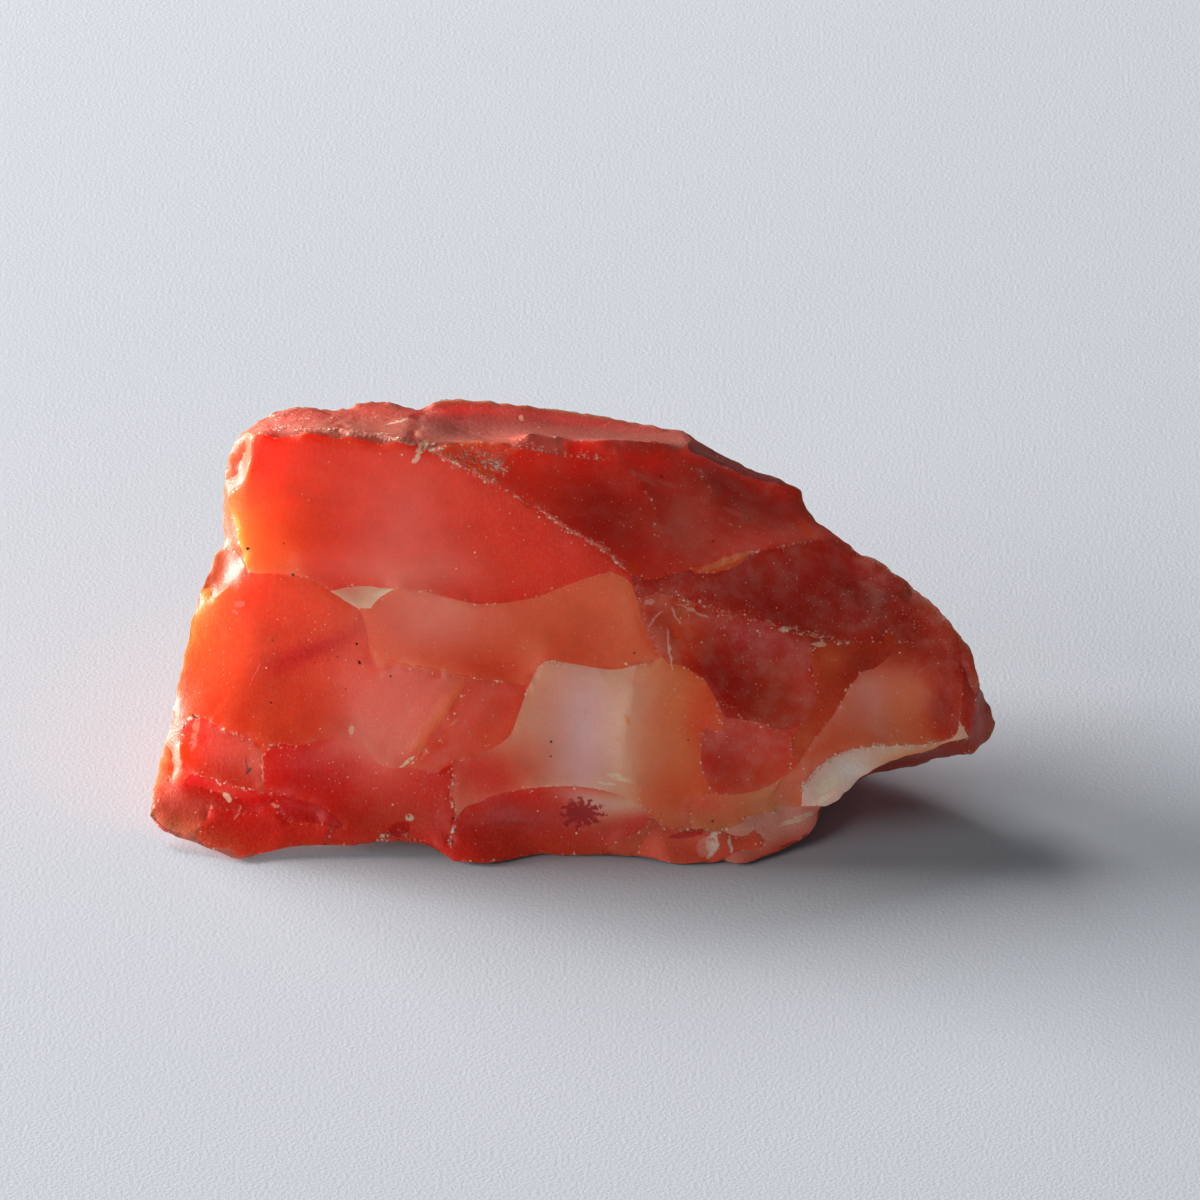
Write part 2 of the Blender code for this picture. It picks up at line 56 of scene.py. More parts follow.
WEAR_REACH = 0.30  # how far from a ridge its wear reaches, in mm
WEAR_DEPTH = 0.10
WEAR_SIZE = 0.5
CHIP_DEPTH = 0.09
CHIP_SIZE = 0.9
RIDGE_WEAR = 0.35  # how crushed a plain ridge looks
CRUSH_DEPTH = 0.07
CRUSH_SIZE = 0.42
RIPPLE_DEPTH = 0.02
RIPPLE_SIZE = 1.9
PIT_DEPTH = 0.04
PIT_SIZE = 0.6
CLOUD_WANDER = 0.7  # how far a cloud's outline wanders, in mm
CLOUD_WANDER_SIZE = 3.0
SHADE_RIM_TURN = 0.3  # where the surface turns further away from the front than this, painted shade darkens it towards umber
TOWARDS_WINDOW = (-0.92, 0.34, 0.19)  # the way the left end faces, toward the window light: faces turned this way are painted a deep amber, painted light for the window shining through the end
WINDOW_GLOW_TURN = 0.35
THIN = 1.6  # where the stone is thinner than this, in mm, its colour lies more and more on the surface
THIN_ENOUGH = 0.8  # the thinness, from 0 to 1, from which on it lies there as much as it ever does
THIN_CRISP = 0.85
WINDOW_GLOW_SHARE = 0.85  # how much of the painted window glow on the left end, and of the painted shade on the rim, shows at most
RIM_SHADE_SHARE = 0.9
FRONT_INNER = 0.1  # how much of the colour that runs through the stone shows on the front
BEHIND_INNER = 0.6
BEHIND_FROST = 0.12
BEHIND_DUST = 0.3

# Tones as display values from 0 to 255. Red light passes through the stone, so red is high in all.
TONES = {
    "amber": (248, 184, 84),
    "orange": (246, 118, 40),
    "flame": (238, 80, 34),
    "scarlet": (246, 78, 46),
    "red": (240, 54, 28),
    "blood": (240, 30, 9),
    "wine": (212, 12, 4),
    "garnet": (210, 36, 14),
    "coral": (240, 122, 102),
    "rose": (240, 98, 78),
    "pink": (253, 154, 134),
    "tan": (246, 116, 72),
    "rust": (246, 94, 42),
    "copper": (248, 134, 78),
    "clay": (246, 178, 140),
    "lilac": (248, 194, 190),
    "mauve": (226, 88, 58),
    "smoke": (118, 48, 42),
    "ash": (176, 84, 70),
    "shell": (252, 212, 190),
    "ivory": (255, 238, 226),
    "fire": (252, 86, 30),
    "cream": (255, 224, 190),
    "brown": (184, 42, 16),
    "sienna": (186, 84, 34),
    "umber": (150, 40, 20),
    "russet": (208, 56, 24),
    "vermilion": (214, 70, 28),
    "soot": (70, 7, 4),
}

# Scars on the front: a place inside each, its tone, and how frosted and how dusty it is, from 0 to 1.
FRONT = {
    "upper_face": (-9, 17.5, "red", 0.0, 0.2),
    "left_chips": (-16.75, 20.3, "sienna", 0.1, 0.3),
    "left_strip": (-17.25, 17, "sienna", 0.1, 0.3),
    "ember": (-17.4, 14.4, "sienna", 0.1, 0.3),
    "left_face": (-15, 10.5, "flame", 0.0, 0.3),
    "sliver": (-10.6, 13.15, "cream", 0.6, 0.0),
    "middle_face": (-3, 11.8, "tan", 0.0, 0.2),
    "brick": (-8.3, 7.7, "rose", 0.0, 0.3),
    "notch": (-5.3, 6.7, "scarlet", 0.0, 0.5),
    "pale_left": (-1.2, 6.5, "clay", 0.4, 0.3),
    "pale_right": (4.6, 6.5, "fire", 0.1, 0.3),
    "arch": (-1.8, 2.0, "blood", 0.1, 0.3),
    "toe_strip": (3.3, 1.0, "vermilion", 0.5, 0.4),
    "toe_chip": (5, 1.2, "scarlet", 0.5, 0.4),
    "toe_corner": (7.9, 1.0, "scarlet", 0.8, 0.3),
    "toe_side": (10.2, 1.9, "pink", 0.8, 0.3),
    "lower_right": (9.3, 3.0, "copper", 0.6, 0.4),
    "cup": (8.3, 5.4, "scarlet", 0.4, 0.8),
    "bowl": (8.5, 9.5, "garnet", 0.1, 0.9),
    "saddle": (4.5, 12.5, "mauve", 0.1, 0.8),
    "shelf": (10, 13.8, "garnet", 0.3, 1.0),
    "crescent": (6.9, 14.75, "rust", 0.2, 0.2),
    "vale_left": (0.5, 18.5, "red", 0.1, 0.5),
    "vale_middle": (5.0, 17.3, "red", 0.3, 0.6),
    "vale_right": (9, 17.5, "red", 0.3, 0.6),
    "roof_chip": (-1.8, 20.9, "ash", 0.7, 0.2),
    "roof_rough": (-5.1, 20.3, "rust", 0.6, 0.8),
    "roof_left": (-13.5, 22.3, "ash", 1.0, 0.4),
    "roof_middle": (-9.5, 22.3, "ash", 1.0, 0.4),
    "roof_main": (-2, 22, "ash", 1.0, 0.3),
    "roof_right": (8.2, 19.9, "smoke", 1.0, 0.2),
    "cheek_upper": (17, 11.3, "tan", 0.2, 0.9),
    "cheek_lower": (16, 7.7, "tan", 0.1, 0.6),
    "gutter": (13.3, 9.0, "vermilion", 0.1, 0.3),
    "lip": (14.5, 5.1, "shell", 0.7, 0.2),
    "right_end": (19.6, 8.3, "brown", 0.1, 0.3),
    "nub": (20.5, 7, "umber", 0.1, 0.5),
    "under_lip_right": (17.0, 5.0, "umber", 0.0, 0.2),
    "under_lip_left": (12.6, 2.6, "blood", 0.0, 0.2),
    "block": (-17.5, 5.4, "russet", 0.1, 0.2),
    "left_nicks": (-20.2, 4.9, "russet", 0.4, 0.3),
    "band": (-16.5, 3.3, "wine", 0.0, 0.2),
    "bottom_lip": (-16.5, 1.6, "blood", 0.0, 0.3),
    "lower_face": (-10, 3.2, "blood", 0.0, 0.4),
}

# Scars on the back and underneath: a place on each, and its tone.
BEHIND = {
    "back_top_left": (-12.7, 15.8, 16.9, "umber"),
    "back_bay": (-7.0, 18.6, 11.5, "umber"),
    "back_top_right": (0.6, 19.5, 14.2, "umber"),
    "back_top_end": (7.4, 18.3, 12.6, "umber"),
    "back_rim": (13.1, 14.4, 10.2, "umber"),
    "back_end": (19.0, 9.0, 7.2, "umber"),
    "left_end_top": (-17.4, 13.0, 13.5, "umber"),
    "left_end_low": (-19.4, 8.0, 5.5, "umber"),
    "back_left": (-15.0, 16.0, 9.2, "umber"),
    "back_left_low": (-12.9, 15.4, 3.2, "sienna"),
    "back_middle": (-2.2, 19.4, 3.6, "brown"),
    "back_right": (3.1, 20.2, 8.3, "umber"),
    "back_right_low": (6.3, 18.0, 3.8, "brown"),
    "back_far_right": (11.7, 15.0, 5.0, "umber"),
    "tail": (18.7, 8.4, 3.8, "umber"),
    "base": (-1.0, 11.0, 0.0, "red"),
    "under_right": (12.5, 6.0, 1.3, "umber"),
    "under_far_right": (8.7, 11.4, 1.2, "umber"),
    "under_middle": (1.8, 16.0, 1.1, "umber"),
    "under_far_left": (-9.6, 12.2, 1.0, "umber"),
    "under_left": (-10.3, 2.9, 0.3, "umber"),
    "under_tip": (-18.4, 3.2, 0.9, "umber"),
    "under_front_left": (-2.1, 2.3, 0.1, "umber"),
    "under_front_right": (5.4, 2.8, 0.2, "umber"),
}

# Clouds of colour inside the front scars: the scars, tone, across, up, width, height, turn and strength. The
# amber and orange clouds at the left edge are painted light, the glow of light shining through the thin end.
CLOUDS = (
    ("upper_face", "vermilion", -13.0, 18.4, 2.8, 4.0, 0, 0.6),
    # Painted light: amber and orange glow of light through the thin left edge.
    ("upper_face", "amber", -16.5, 16.0, 2.3, 3.2, 10, 1.0),
    ("upper_face", "orange", -14.6, 14.8, 1.8, 1.5, 0, 0.7),
    ("upper_face", "coral", -8.8, 16.6, 3.6, 3.4, 0, 1.0),
    ("upper_face", "pink", -9.0, 14.4, 5.5, 1.2, 0, 0.8),
    ("upper_face", "red", -0.5, 15.3, 3.4, 2.0, -30, 0.6),
    ("left_face", "vermilion", -16.4, 9.6, 2.4, 3.2, 0, 0.9),
    # Painted light: orange and amber glow of light through the thin left edge.
    ("left_face", "orange", -18.6, 12.0, 2.2, 4.5, 5, 1.0),
    ("left_face", "amber", -19.0, 13.0, 1.2, 2.0, 0, 0.6),
    ("left_face", "wine", -12.6, 10.4, 2.6, 0.6, 18, 1.0),
    ("left_face lower_face", "rose", -10.4, 8.0, 2.6, 4.2, 0, 0.9),
    ("left_face", "coral", -9.6, 11.8, 1.8, 1.4, 0, 0.7),
    ("sliver", "cream", -9.9, 13.2, 1.2, 0.9, 0, 0.9),
    ("middle_face", "pink", -7.4, 12.4, 3.2, 2.4, 0, 0.9),
    ("middle_face", "scarlet", -3.4, 9.6, 4.0, 1.0, -5, 0.5),
    ("brick left_face lower_face", "pink", -10.2, 6.7, 1.6, 2.0, 20, 0.8),
    ("brick", "flame", -6.8, 7.6, 0.7, 3.2, -28, 0.8),
    ("notch", "coral", -5.0, 8.4, 1.4, 0.9, 30, 0.4),
    ("pale", "clay", 2.6, 6.8, 2.0, 6.0, 0, 1.0),
    ("pale", "lilac", 0.4, 6.6, 2.0, 3.6, 0, 1.0),
    ("pale", "copper", 4.6, 6.8, 1.1, 5.0, 0, 0.8),
    ("pale", "red", -4.6, 4.2, 3.0, 1.7, 10, 1.0),
    ("pale", "rust", 5.4, 3.0, 2.4, 1.8, 0, 0.9),
    ("arch", "rose", 0.9, 2.6, 1.7, 1.3, -8, 0.8),
    ("arch", "clay", 2.4, 3.0, 2.4, 0.9, -12, 0.9),
    ("arch", "lilac", 0.8, 3.2, 1.6, 0.6, -12, 0.6),
    ("arch", "garnet", -3.6, 2.0, 2.0, 2.0, 0, 0.8),
    ("arch", "vermilion", 1.5, 0.8, 4.0, 0.7, 0, 0.7),
    ("toe_side", "scarlet", 9.6, 0.7, 2.4, 0.6, 28, 1.0),
    ("toe_side", "pink", 10.6, 2.4, 1.6, 0.5, 15, 0.8),
    ("lower_right", "scarlet", 6.4, 3.1, 1.6, 1.0, 0, 0.8),
    ("lower_right", "clay", 11.2, 3.4, 1.2, 0.9, 20, 0.8),
    ("cup", "garnet", 7.2, 6.2, 1.6, 1.6, 0, 0.7),
    ("bowl", "rust", 5.6, 11.4, 1.4, 1.6, 0, 0.9),
    ("bowl", "vermilion", 10.0, 8.8, 1.8, 2.0, 0, 0.6),
    ("bowl", "mauve", 9.8, 7.4, 1.6, 0.8, 0, 0.8),
    ("bowl", "mauve", 11.4, 8.6, 0.7, 1.6, 0, 0.6),
    ("saddle", "rust", 6.0, 13.2, 1.4, 0.8, -15, 0.5),
    ("shelf", "vermilion", 11.8, 11.4, 2.2, 0.9, 0, 0.6),
    ("shelf", "umber", 15.4, 13.0, 2.4, 1.4, -40, 0.9),
    ("shelf", "brown", 7.4, 14.0, 1.6, 1.4, 0, 0.6),
    ("vale", "garnet", 1.2, 17.6, 2.2, 1.8, -15, 1.0),
    ("vale", "scarlet", -1.6, 18.6, 2.4, 1.4, -25, 0.6),
    ("vale", "coral", 5.4, 17.0, 1.8, 1.6, 0, 0.8),
    ("vale", "rose", 8.6, 17.4, 1.6, 1.0, -20, 0.5),
    ("vale", "brown", 10.2, 17.9, 2.0, 1.4, -25, 0.6),
    ("vale", "brown", 7.4, 19.0, 2.4, 0.8, -25, 0.6),
    ("vale", "flame", 11.6, 16.6, 0.6, 0.4, 30, 0.9),
    ("roof", "scarlet", -1.0, 20.4, 5.0, 0.8, -3, 0.5),
    ("roof_main", "rose", -1.6, 21.8, 3.0, 0.8, 0, 0.35),
    ("roof_left", "rose", -14.0, 22.0, 3.0, 0.8, 0, 0.3),
    ("roof_middle roof_left", "mauve", -9.2, 22.2, 2.6, 0.9, 0, 0.5),
    ("cheek", "brown", 16.4, 12.4, 5.0, 2.5, -25, 1.0),
    ("cheek", "brown", 18.9, 10.4, 1.4, 1.8, -40, 0.9),
    ("cheek", "pink", 14.6, 8.2, 2.0, 1.5, -35, 1.0),
    ("cheek", "copper", 16.5, 8.0, 1.4, 1.2, 0, 0.7),
    ("cheek", "brown", 18.8, 7.6, 0.9, 1.8, 0, 1.0),
    ("cheek_upper", "brown", 14.6, 11.0, 0.9, 1.4, 0, 0.8),
    ("nub", "soot", 21.2, 7.7, 0.5, 0.6, 0, 0.8),
    ("gutter", "copper", 12.7, 10.2, 1.0, 0.9, 0, 0.5),
    ("gutter", "brown", 13.9, 10.0, 1.0, 1.6, -40, 0.7),
    ("gutter", "copper", 11.4, 6.2, 1.0, 1.2, 0, 0.4),
    ("lip", "ivory", 13.6, 4.6, 1.0, 0.6, 30, 0.9),
    ("lip", "copper", 16.9, 5.7, 1.8, 0.6, 15, 0.9),
    # Painted light: orange glow of light through the far left chips.
    ("block", "orange", -19.4, 5.4, 0.9, 1.0, 0, 0.6),
    ("left_nicks", "orange", -20.2, 4.9, 1.0, 1.4, 0, 0.9),
    ("left_nicks", "wine", -16.4, 3.1, 2.4, 0.9, -8, 1.0),
    ("block", "rose", -16.4, 5.8, 1.4, 0.8, 0, 0.5),
    ("band", "rose", -17.8, 3.1, 1.6, 0.5, 0, 0.7),
    ("lower_face", "wine", -13.0, 4.6, 2.4, 1.2, 0, 0.4),
    ("lower_face", "scarlet", -8.4, 2.6, 2.0, 1.2, 0, 0.5),
)

# Borders between front scars that meet at almost no fold, each along its line of (across, up).
BORDERS = (
    ((-1.6, 10.05), (-2.25, 8.9), (-2.75, 7.5), (-3.15, 6.4), (-3.75, 5.9), (-4.75, 5.5), (-6.0, 5.0),
     (-6.9, 4.5)),
    ((-6.0, 5.0), (-6.15, 3.6), (-5.9, 2.3), (-6.2, 1.1)),
    ((3.1, 13.1), (4.25, 13.5), (6.1, 12.95), (5.75, 12.45), (4.85, 12.0), (5.2, 10.85), (5.35, 9.9)),
    ((-19.6, 3.15), (-17.0, 2.6), (-14.5, 2.1), (-11.25, 1.8), (-12.0, 2.5), (-13.75, 3.25), (-15.35, 3.45)),
    ((5.75, 3.1), (5.75, 1.7), (7.35, 1.65), (8.15, 1.95), (8.55, 2.35), (9.75, 2.55), (11.25, 2.8),
     (11.25, 3.6), (12.0, 4.7)),
    ((4.35, 1.85), (5.75, 1.7)),
    ((11.25, 2.8), (12.75, 2.8), (13.75, 3.8), (15.25, 4.85)),
    ((5.75, 14.65), (7.35, 15.1), (8.75, 15.45)),
    ((11.8, 9.85), (12.0, 8.6), (11.65, 7.35), (10.65, 6.2), (11.1, 4.95)),
    ((-7.25, 13.5), (-8.95, 13.7), (-10.75, 13.8), (-12.15, 13.55)),
    ((-9.75, 13.25), (-10.15, 12.75), (-10.75, 12.7), (-11.4, 13.1)),
    ((-16.25, 14.5), (-16.75, 13.95), (-17.65, 13.5), (-18.15, 12.9)),
    ((3.25, 2.95), (4.35, 1.85), (3.25, 1.6), (2.25, 1.2), (1.4, 0.8)),
    ((-5.25, 9.3), (-5.75, 7.95), (-6.75, 6.35), (-7.65, 5.4)),
)
SOFT_BORDERS = (
    ((2.95, 9.75), (2.7, 7.55), (2.7, 5.5), (2.85, 3.5), (3.25, 2.6)),
    ((14.6, 10.4), (15.8, 10.3), (17.2, 10.0), (18.6, 9.8), (19.2, 9.6)),
    ((-6.9, 4.5), (-8.25, 4.8), (-9.75, 5.0), (-11.15, 6.75), (-11.0, 8.1), (-10.55, 9.7), (-10.15, 11.25)),
)  # the same, where no ridge shows
BORDER_REACH = 0.3  # a mesh edge whose ends are both this near a border lies on it, in mm

# Lines along which the stone is crushed: the width in mm, the strength, and the line of (across, up).
CRUSHED = (
    (0.20, 0.9, ((-16.4, 21.4), (-15.65, 21.7), (-13.75, 21.7), (-11.75, 21.5), (-9.75, 21.3),
                 (-7.25, 20.8))),
    (0.35, 0.4, ((-15.0, 22.3), (-12.5, 22.2), (-9.5, 22.1), (-7.4, 21.9))),
    (0.28, 0.9, ((-7.25, 20.75), (-5.95, 19.95), (-4.6, 19.2), (-3.9, 19.0))),
    (0.25, 0.55, ((-5.9, 21.7), (-4.5, 21.3), (-2.8, 20.9), (-0.6, 20.4), (1.5, 20.2))),
    (0.70, 0.85, ((-5.2, 20.5), (-3.8, 19.8))),
    (0.16, 0.95, ((-3.0, 18.3), (-1.5, 17.5), (-0.15, 16.55), (1.35, 15.75), (2.85, 14.4))),
    (0.14, 0.5, ((2.85, 14.4), (3.1, 13.1), (3.65, 11.6), (4.25, 10.3))),
    (0.10, 0.4, ((1.75, 14.5), (0, 13.95), (-1.75, 13.25), (-3.75, 12.95))),
    (0.12, 0.6, ((-1.6, 10.05), (0.25, 9.9), (1.75, 9.7), (3.0, 9.9), (4.5, 10.1))),
    (0.10, 0.5, ((5.35, 9.9), (6.25, 9.35), (6.95, 8.4), (7.35, 7.3), (6.4, 7.05), (6.25, 6.0), (6.2, 5.0))),
    (0.14, 0.6, ((-19.55, 7.15), (-18.5, 7.3), (-17.65, 6.65), (-16.5, 6.35), (-15.6, 5.95), (-13.75, 5.8))),
    (0.15, 0.6, ((-18.5, 4.3), (-16.75, 3.8), (-15.35, 3.45), (-13.5, 3.4))),
    (0.30, 0.15, ((-17.25, 20.35), (-17.55, 18.6), (-17.6, 17.1), (-17.5, 16.0))),
    (0.10, 0.4, ((-16.2, 20.75), (-16.25, 19.7), (-16.5, 18.85), (-17.15, 18.6), (-17.35, 18.2))),
    (0.07, 0.5, ((-17.2, 17.6), (-17.0, 16.6), (-16.7, 15.8))),
    (0.15, 0.2, ((-20.9, 3.6), (-20.9, 2.6), (-19.8, 3.0))),
    (0.15, 0.8, ((-6.1, 4.4), (-6.15, 3.6), (-5.9, 2.3), (-6.2, 1.1))),
    (0.30, 0.7, ((-9.6, 1.4), (-8.6, 1.5), (-7.9, 1.2))),
    (0.10, 0.4, ((-4.75, 3.15), (-2.75, 3.7), (-0.75, 3.85), (1.25, 3.7), (3.25, 2.95))),
    (0.14, 0.6, ((3.25, 2.95), (4.35, 1.85), (5.75, 1.7), (7.35, 1.65), (8.55, 2.35), (9.75, 2.55))),
    (0.12, 0.6, ((5.75, 14.65), (6.35, 14.4), (8.0, 14.75), (8.75, 15.45), (10.25, 15.8), (12.0, 16.15))),
    (0.22, 0.6, ((4.25, 13.5), (6.1, 12.95), (8.0, 12.35), (9.5, 12.0), (10.75, 11.6), (13.5, 11.0))),
    (0.30, 0.6, ((13.75, 15.9), (15.25, 15.1), (16.5, 14.2), (17.75, 13.1), (18.5, 12.35), (19.25, 11.4))),
    (0.18, 0.8, ((11.25, 3.6), (12.0, 4.7), (13.15, 5.5), (14.75, 5.85), (16.5, 5.85), (18.1, 6.05))),
    (0.12, 0.5, ((6.95, 8.4), (8.5, 7.15), (9.65, 6.85), (10.65, 6.2), (10.8, 5.35), (10.45, 4.35))),
)

# Marks on the front: across, up, half length, half width and turn of each, then its tone and strength.
MARKS = (
    (-7.6, 20.7, 0.42, 0.20, 60, "cream", 0.9),
    (-7.9, 20.1, 0.30, 0.14, 50, "cream", 0.8),
    (-8.9, 22.0, 0.60, 0.07, 15, "cream", 0.7),
    (-2.7, 22.2, 0.14, 0.14, 0, "cream", 0.7),
    (-16.7, 12.9, 0.26, 0.16, 20, "pink", 0.5),
    (-16.9, 12.5, 0.20, 0.07, -30, "pink", 0.6),
    (-15.9, 9.5, 0.50, 0.03, 65, "pink", 0.6),
    (-18.9, 6.5, 0.16, 0.90, -10, "clay", 0.6),
    (-16.3, 5.0, 0.05, 0.40, 4, "soot", 0.6),
    (-16.2, 4.6, 0.18, 0.10, 50, "soot", 0.7),
    (-15.5, 5.0, 0.04, 0.90, 0, "pink", 0.7),
    (-18.9, 7.3, 0.20, 0.08, -30, "soot", 0.9),
    # A painted glint.
    (-17.3, 3.3, 0.30, 0.17, -40, "cream", 1.0),
    (-16.75, 2.5, 0.06, 0.42, -20, "pink", 0.8),
    (-14.9, 2.9, 0.20, 0.08, -20, "cream", 0.5),
    (-8.2, 2.3, 0.20, 0.16, 0, "cream", 0.8),
    (-8.7, 1.7, 0.60, 0.35, 20, "wine", 0.8),
    (-11.1, 6.7, 0.12, 0.28, 0, "cream", 0.7),
    (-8.3, 5.1, 0.45, 0.10, 40, "cream", 0.8),
    (-7.3, 5.6, 0.20, 0.06, -50, "clay", 0.7),
    (-6.0, 7.0, 0.25, 0.04, 40, "clay", 0.6),
    (-2.3, 14.7, 0.30, 0.12, 60, "flame", 0.8),
    (2.85, 14.7, 0.36, 0.30, 0, "flame", 0.9),
    (2.2, 4.3, 0.70, 0.14, -20, "cream", 0.6),
    (1.6, 4.0, 0.45, 0.08, -10, "cream", 0.7),
    (2.6, 7.2, 0.10, 0.30, 20, "orange", 0.5),
    # The shell and pink marks on the toe: a painted highlight on a small chip.
    (6.8, 1.0, 0.30, 0.65, -14, "shell", 0.9),
    (6.4, 0.9, 0.35, 0.55, -20, "pink", 0.6),
    (7.7, 1.0, 0.10, 0.45, 8, "shell", 0.8),
    (5.6, 1.5, 0.90, 0.20, 10, "wine", 0.8),
    (9.2, 2.0, 0.90, 0.16, 25, "pink", 0.7),
    (11.0, 2.2, 0.90, 0.14, 20, "cream", 0.6),
    (11.6, 16.6, 0.45, 0.20, -35, "flame", 1.0),
    (7.4, 15.0, 1.50, 0.16, 20, "copper", 0.7),
    (4.7, 10.6, 0.06, 1.10, 8, "shell", 0.6),
    (4.0, 12.2, 0.60, 0.07, 50, "shell", 0.5),
    (5.0, 12.3, 0.50, 0.06, -60, "shell", 0.5),
    (3.7, 13.0, 0.30, 0.16, 20, "shell", 0.5),
    (5.8, 12.6, 0.90, 0.06, -25, "shell", 0.5),
    (3.4, 19.2, 0.80, 0.12, -30, "coral", 0.5),
    (4.6, 18.9, 0.60, 0.12, -20, "coral", 0.5),
    (7.9, 17.5, 0.60, 0.12, -25, "coral", 0.5),
    (10.6, 11.7, 0.50, 0.12, 10, "cream", 0.6),
    (12.1, 10.9, 0.40, 0.10, 0, "cream", 0.6),
    (12.5, 3.9, 0.60, 0.30, 30, "cream", 0.7),
    (12.3, 3.2, 0.60, 0.12, 30, "cream", 0.9),
    (-14.5, 15.9, 0.05, 0.05, 0, "soot", 1.0),
    (-16.3, 15.7, 0.07, 0.07, 0, "soot", 1.0),
    (-10.8, 10.9, 0.07, 0.07, 0, "soot", 1.0),
    (-10.7, 10.0, 0.08, 0.08, 0, "soot", 1.0),
    (-9.1, 9.3, 0.06, 0.06, 0, "soot", 0.9),
    (-15.0, 11.1, 0.05, 0.05, 0, "soot", 0.8),
    (-12.9, 9.95, 0.06, 0.04, 12, "soot", 0.5),
    (-12.3, 10.1, 0.05, 0.05, 12, "soot", 0.5),
    (-11.8, 10.3, 0.06, 0.04, 12, "soot", 0.5),
    (-6.75, 7.1, 2.70, 0.07, 56, "copper", 0.6),
    (-8.1, 9.85, 2.80, 0.06, -11, "copper", 0.4),
    (-1.2, 6.1, 0.07, 0.07, 0, "soot", 0.9),
)

# Flat zones of the front with a crisp outline: tone, strength, how far they stand up in mm, and their sides.
# A side is a start, an end and a softness in mm, and the zone is to the left of it.
PANELS = (
    ("coral", 0.6, 0.05, (
        ((-5.25, 9.35), (-11.0, 10.45), 0.08), ((-8.3, 4.8), (-5.25, 9.35), 0.06),
        ((-10.4, 10.2), (-10.4, 4.0), 1.8), ((-10.0, 4.6), (-7.0, 5.2), 1.0),
    )),
    ("tan", 0.8, 0.03, (
        ((-5.25, 9.35), (-11.0, 10.45), 0.08), ((-8.3, 4.8), (-5.25, 9.35), 0.06),
        ((-6.1, 9.35), (-9.15, 4.8), 0.7), ((-10.0, 4.6), (-7.0, 5.2), 1.0),
    )),
)

# Places on the front where the surface runs on evenly: (across, up) and radius, in mm.
SMOOTHED = (
    (-14.6, 22.2, 0.9), (-12.2, 22.3, 1.1), (-9.6, 22.2, 1.2), (-7.6, 21.7, 0.9), (16.4, 9.7, 1.3),
    (-6.3, 8.9, 1.1), (-7.2, 6.8, 1.0), (-10.0, 10.0, 1.7), (3.0, 10.9, 1.1), (-5.5, 3.2, 0.6),
)
SMOOTHING_ROUNDS = 70

SPOT_PLACE = (0.35, 2.55)  # the dark mossy spot, (across, up)
SPOT_SIZE = (1.15, 0.80)  # half its width and height, in mm
SPOT_ARMS = 11
SPOT_COLOUR = (0.36, 0.004, 0.008, 1)
PALE_MARKS = ("cream", "shell", "clay", "pink")
MARK_WANDER = 0.34  # how far the outline of a mark or of the spot wanders, in mm
MARK_SOFTNESS = 0.3  # how far its edge fades, either way, as a share of the squared distance

GLOW_REACH = (7.0, 1.54, 0.98)  # how far red, green and blue light travel in the stone, in mm
QUARTZ_IOR = 1.54

PAPER = (0.60, 0.625, 0.66, 1)
LIGHT_DISTANCE = 1.0  # metres
VIEW_DISTANCE = 0.55
VIEW_WIDTH = 0.060
VIEW_TARGET = (1.25, 13.1, 5.0)  # (across, up, back) in mm


def drawn(points):
    """(across, up, back) in mm of points in the frame."""
    x = points[:, 0] / MM + DRAWING_MIDDLE[0]
    y = points[:, 1] / MM + DRAWING_MIDDLE[1]
    z = points[:, 2] / MM
    sin, cos = math.sin(FACE_LEAN), math.cos(FACE_LEAN)
    return np.stack([x, y * sin + z * cos, y * cos - z * sin], axis=1)


def linear(display):
    """Linear light of display values from 0 to 255."""
    share = np.clip(np.asarray(display, float) / 255, 0, 1)
    return np.where(share > 0.04045, ((share + 0.055) / 1.055) ** 2.4, share / 12.92)


# --- mesh ---------------------------------------------------------------------------------------------------


def solid_mesh(node):
    """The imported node's points and triangles, with the points that shading split made one again."""
    mesh = node.data
    mesh.calc_loop_triangles()
    points = np.array([v.co for v in mesh.vertices], float)
    faces = np.array([t.vertices for t in mesh.loop_triangles], int)
    _, first, index = np.unique(np.round(points / MM, 3), axis=0, return_index=True, return_inverse=True)
    faces = index.reshape(-1)[faces]
    whole = (faces[:, 0] != faces[:, 1]) & (faces[:, 1] != faces[:, 2]) & (faces[:, 2] != faces[:, 0])
    return points[first], faces[whole]


def face_crosses(points, faces):
    a, b, c = (points[faces[:, i]] for i in range(3))
    return np.cross(b - a, c - a)


def face_normals(points, faces):
    crosses = face_crosses(points, faces)
    return crosses / np.linalg.norm(crosses, axis=1)[:, None]


def point_normals(points, faces):
    crosses = face_crosses(points, faces)
    normals = np.zeros_like(points)
    for i in range(3):
        np.add.at(normals, faces[:, i], crosses)
    return normals / np.linalg.norm(normals, axis=1)[:, None]


def edges_of(faces):
    """Each edge's two points, its two faces, and each face's three edges."""
    ends = np.sort(np.concatenate([faces[:, [0, 1]], faces[:, [1, 2]], faces[:, [2, 0]]]), axis=1)
    edges, index = np.unique(ends, axis=0, return_inverse=True)
    index = index.reshape(-1)
    owners = np.tile(np.arange(len(faces)), 3)
    sides = owners[np.argsort(index, kind="stable")].reshape(-1, 2)
    return edges, sides, index.reshape(3, -1).T


def folds(points, faces, sides):
    """The angle that the surface turns through at each edge."""
    normals = face_normals(points, faces)
    return np.arccos(np.clip((normals[sides[:, 0]] * normals[sides[:, 1]]).sum(1), -1, 1))


